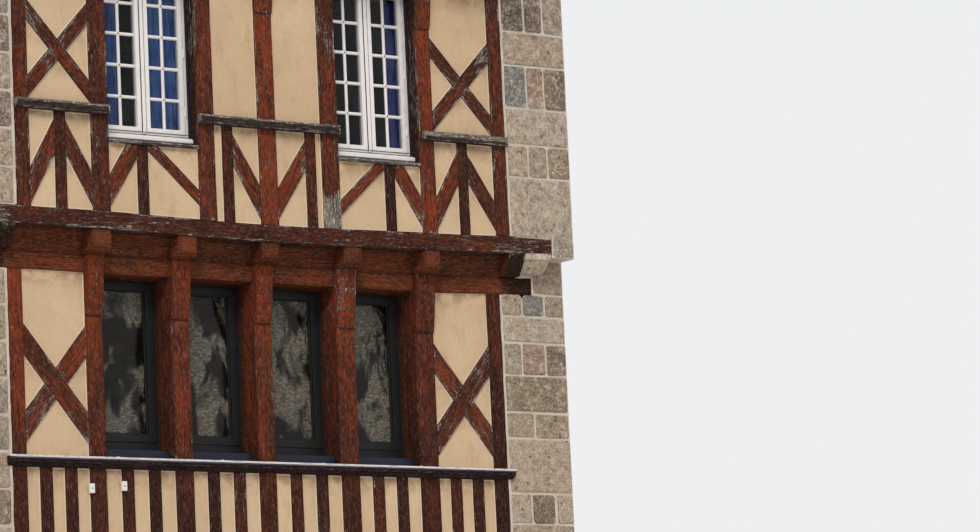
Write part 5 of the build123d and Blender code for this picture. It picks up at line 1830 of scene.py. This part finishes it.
for part in solids_of("first_window_sills"):
    soften(part, 0.008, 3)
    sills.take(part)
sills.piece("dark_sills", BLUE_BLACK_AND_SHADOW, "dark_paint", ["first_window_sills"])


# %% [markdown]
# The curtains are cotton, cut half as wide again as the space they fill. A cloth simulation could
# let them fall, but it would have to be baked and might change from run to run. A formula is
# enough here: every row of points follows a wave, and the wave's height is searched until its length is
# the width of the cloth. The gathered sheet is then as large as the flat one.

# %% A gathered row
def wave(start, end, folds, height, sway, count=400):
    """Points along one gathered row, and their distance along the cloth."""
    share = np.linspace(0, 1, count)
    x = start + (end - start) * (share + 0.012 * np.sin(2 * pi * (share * 2.3 + sway)))
    y = height * np.sin(2 * pi * folds * share + 1.3 * np.sin(2 * pi * share + sway))
    length = np.concatenate([[0], np.cumsum(np.hypot(np.diff(x), np.diff(y)))])
    return x, y, length


def gathered_row(start, end, folds, flat, sway, columns):
    """The row whose length equals the flat width, as columns evenly spaced on the cloth."""
    low, high = 0.0, 0.12
    for _ in range(30):
        height = (low + high) / 2
        if wave(start, end, folds, height, sway)[2][-1] < flat:
            low = height
        else:
            high = height
    x, y, length = wave(start, end, folds, height, sway)
    even = np.linspace(0, length[-1], columns)
    return np.interp(even, length, x), np.interp(even, length, y)


swing = np.ptp(gathered_row(0, 0.25, 5, 0.52, 0, 71)[1])
print("0.52 m of cloth in 0.25 m swings", round(1000 * swing), "mm")

# %% [markdown]
# Rows below each other make the sheet. The sway shifts slowly on the way down, so the folds lean a
# little. Every curtain has its own UV map, which lies flat as the cloth did before it was sewn. Some
# curtains are drawn and some are pushed to the side, as the picture has them.

# %% Curtains
ROD_Y, ROD_Z = -3.205, 8.630
CURTAIN_LENGTH = 1.43
HEADING_DROP = 0.022            # from the rod's middle to the upper edge of the cloth
CLOTH_ROWS, FOLD_COLUMNS = 28, 14
CURTAIN_CUTS = (("curtain_1", -1.585, -1.335, 0.52, 5), ("curtain_2", -1.130, -0.735, 0.62, 7),
                ("curtain_3", 0.720, 0.815, 0.42, 4), ("curtain_4", 1.435, 1.555, 0.46, 6))


def curtain_mesh(name, start, end, flat, folds):
    """A gathered sheet between two places on the rod."""
    columns = folds * FOLD_COLUMNS + 1
    verts, cloth = [], []
    for row in range(CLOTH_ROWS):
        down = row / (CLOTH_ROWS - 1)
        spread = 0.012 * sin(down * 2.2 + folds) * down
        sway = 0.35 * down * sin(folds)
        x, y = gathered_row(start + spread, end - spread, folds, flat, sway, columns)
        level = ROD_Z - HEADING_DROP - CURTAIN_LENGTH * down
        verts += [(x[column], ROD_Y + y[column], level) for column in range(columns)]
        cloth += [(column / (columns - 1), 1 - down) for column in range(columns)]
    starts = [r * columns + c for r in range(CLOTH_ROWS - 1) for c in range(columns - 1)]
    mesh = bpy.data.meshes.new(name)
    mesh.from_pydata(verts, [], [(n, n + columns, n + columns + 1, n + 1) for n in starts])
    layer = mesh.uv_layers.new(name="cloth")
    for loop in mesh.loops:
        layer.data[loop.index].uv = cloth[loop.vertex_index]
    mesh.shade_smooth()
    return mesh


for name, start, end, flat, folds in CURTAIN_CUTS:
    mesh = curtain_mesh(name, start, end, flat, folds)
    dyed = BLUE_COTTON if start < 0 else NAVY_COTTON
    piece = settle(name, mesh, dyed, "cloth", ["curtains"] if name == "curtain_1" else ())

# %% [markdown]
# One brass ring for each fold carries the cloth. A ring is a circle swept round a circle. Blender's
# own torus needs edit mode or an operator with a context, so its few points are placed here.

# %% Curtain rings
RING_RADIUS, RING_THICK = 0.017, 0.002
RING_DROP = 0.006
AROUND, ACROSS = 20, 6


def curtain_ring(x):
    """A thin ring that hangs on the rod."""
    ring = bmesh.new()
    loops = []
    for a in range(AROUND):
        angle = 2 * pi * a / AROUND
        loop = []
        for b in range(ACROSS):
            turn = 2 * pi * b / ACROSS
            size = RING_RADIUS + RING_THICK * cos(turn)
            loop.append(ring.verts.new((x + RING_THICK * sin(turn), ROD_Y + size * cos(angle),
                                        ROD_Z - RING_DROP + size * sin(angle))))
        loops.append(loop)
    for one, other in zip(loops, loops[1:] + loops[:1]):
        for b in range(ACROSS):
            c = (b + 1) % ACROSS
            ring.faces.new((one[b], other[b], other[c], one[c]))
    bmesh.ops.recalc_face_normals(ring, faces=ring.faces)
    return ring


rings = Stock()
for name, start, end, flat, folds in CURTAIN_CUTS:
    for number in range(folds):
        rings.take(curtain_ring(start + (end - start) * (number + 0.5) / folds))
rings.piece("curtain_rings", BRASS, "brass_rod", smooth=True)


# %% [markdown]
# The street door is boarded oak. Its planks stand upright with a fine gap between them, which shows
# as a dark line. Six softened blocks give that line real depth, where a bump would only hint at it.

# %% Door planks
PLANKS = 6
PLANK_GAP = 0.002

door_low, door_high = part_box("street_door")
plank_width = (door_high.x - door_low.x) / PLANKS
planks = Stock()
for number in range(PLANKS):
    left = door_low.x + number * plank_width
    planks.box((left + PLANK_GAP, door_low.y, door_low.z),
               (left + plank_width - PLANK_GAP, door_high.y, door_high.z), 0.006)
planks.piece("door_planks", DOOR_RED, "door_paint", ["street_door"])

# %% [markdown]
# Two forged straps hold the planks together. They taper to a point, as a smith draws iron out. A lock
# plate and a ring to pull complete the ironwork. The ring is a round of short rods, which
# overlap enough to look whole at this size.

# %% Door irons
STRAP_LEVELS = (0.55, 1.85)
STRAP_HALF = 0.026
STRAP_END = 0.35                # height of a strap's end, as a share of the rest
PLATE_LEVELS = (1.08, 1.26)
PULL_RADIUS, PULL_THICK, PULL_STEPS = 0.045, 0.006, 24

irons = Stock()
for level in STRAP_LEVELS:
    strap = block((door_low.x + 0.01, door_low.y - 0.006, level - STRAP_HALF),
                  (door_high.x - 0.14, door_low.y + 0.002, level + STRAP_HALF))
    for v in strap.verts:
        if v.co.x > door_high.x - 0.2:
            v.co.z = level + (v.co.z - level) * STRAP_END
    soften(strap, 0.003, 1)
    irons.take(strap)
irons.box((door_high.x - 0.14, door_low.y - 0.005, PLATE_LEVELS[0]),
          (door_high.x - 0.07, door_low.y + 0.002, PLATE_LEVELS[1]), 0.003, 1)

pull = Vector((door_high.x - 0.105, door_low.y - 0.014, 1.15))
turns = [2 * pi * step / PULL_STEPS for step in range(PULL_STEPS + 1)]
round_pull = [pull + Vector((cos(a), 0, sin(a))) * PULL_RADIUS for a in turns]
for a, b in zip(round_pull, round_pull[1:]):
    irons.take(rod(a, b, PULL_THICK, 8))
hook = pull.z + PULL_RADIUS
irons.take(rod((pull.x, door_low.y - 0.022, hook), (pull.x, door_low.y, hook), 0.010, 10))
irons.piece("door_irons", IRON, "door_paint")

# %% [markdown]
# The nails have forged heads with facets, and stand in rows, two to a plank. They are all alike, so
# one small cone goes on a list of points, through a tree.

# %% Door nails
NAIL_HEAD = 0.011
NAIL_LEVELS = (0.32, 0.75, 0.95, 1.4, 1.62, 2.08)


def nail_tree():
    """A small faceted nail head on every point."""
    g = Form("nail_heads", {"Head": NAIL_HEAD, "Iron": None})
    head = g.node("GeometryNodeMeshCone", {"Vertices": 8, "Radius Bottom": g.given["Head"],
                                           "Radius Top": 0.004, "Depth": 0.007})
    laid = g.node("GeometryNodeInstanceOnPoints", {"Points": g.given["Geometry"],
                                                   "Instance": head.outputs[0],
                                                   "Rotation": (pi / 2, 0, 0)})
    return g.end(laid.outputs[0], g.given["Iron"])


nails = bpy.data.meshes.new("nail_points")
nails.from_pydata([(door_low.x + (number + share) * plank_width, door_low.y - 0.001, level)
                   for number in range(PLANKS) for share in (0.3, 0.7) for level in NAIL_LEVELS], [], [])
grow("door_nails", nails, nail_tree(), {"Head": NAIL_HEAD, "Iron": IRON}, "door_paint")

# %% [markdown]
# A lead sheet can't be made as long as the house is wide, for it would tear in the sun. It is laid in
# shorter sheets that are folded into each other, and the folds show as narrow seams, over the top
# and down the front.

# %% Lead seams
LEAD_SHEETS = 5
SEAM_HALF = 0.012
SEAM_RISE = 0.003

lead_low, lead_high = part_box("first_rail_flashing")
seams = Stock()
for number in range(1, LEAD_SHEETS):
    x = lead_low.x + (lead_high.x - lead_low.x) * number / LEAD_SHEETS
    left, right, front = x - SEAM_HALF, x + SEAM_HALF, lead_low.y - SEAM_RISE
    seams.box((left, front, lead_high.z - 0.006), (right, lead_high.y, lead_high.z + 0.004), 0.002, 1)
    seams.box((left, front, lead_low.z), (right, lead_low.y + 0.006, lead_high.z - 0.002), 0.002, 1)
seams.piece("lead_seams", LEAD, "lead")

# %% [markdown]
# Two small white boxes are fixed to the studs below the dark windows, with one screw in each lid.
# Moulded plastic has rounder edges than wood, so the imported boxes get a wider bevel, and are made a
# little narrower, as in the picture.

# %% Wall boxes
BOX_SHARE = 0.82
SCREW_RADIUS = 0.006

boxes, screws = Stock(), Stock()
for part in solids_of("wall_boxes"):
    low, high = box_of(part)
    middle = Vector((low + high) / 2)
    for v in part.verts:
        v.co.x = middle.x + (v.co.x - middle.x) * BOX_SHARE
    soften(part, 0.005, 3)
    boxes.take(part)
    screws.take(rod((middle.x, low[1] - 0.001, middle.z), (middle.x, low[1] + 0.004, middle.z),
                    SCREW_RADIUS))
screws.piece("box_screws", IRON, "white_plastic")
boxes.piece("rounded_wall_boxes", PLASTIC, "white_plastic", ["wall_boxes"])

# %% [markdown]
# Behind the windows each floor is laid with deal boards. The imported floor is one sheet, which is cut
# into boards of equal width. Every board moves the grain by an amount of its own, so that no two
# show the same knots.

# %% Floor boards
BOARD = 0.165
BOARD_GAP = 0.001

boards = Stock()
for number, part in enumerate(solids_of("floor_boards")):
    low, high = box_of(part)
    count = int((high[1] - low[1]) / BOARD)
    width = (high[1] - low[1]) / count
    for step in range(count):
        near = low[1] + step * width
        board = block((low[0], near + BOARD_GAP, low[2]), (high[0], near + width - BOARD_GAP, high[2]))
        soften(board, 0.003, 1)
        shift = random.Random(number * 100 + step).uniform(-SHIFT, SHIFT)
        tone = (shift + SHIFT) / (2 * SHIFT)
        boards.take(board, grain=[(v.co.x + shift, v.co.y, v.co.z) for v in board.verts],
                    look=[(0.0, tone, 0.0)] * len(board.verts))
boards.piece("floor_planks", DEAL, "deal_boards", ["floor_boards"])
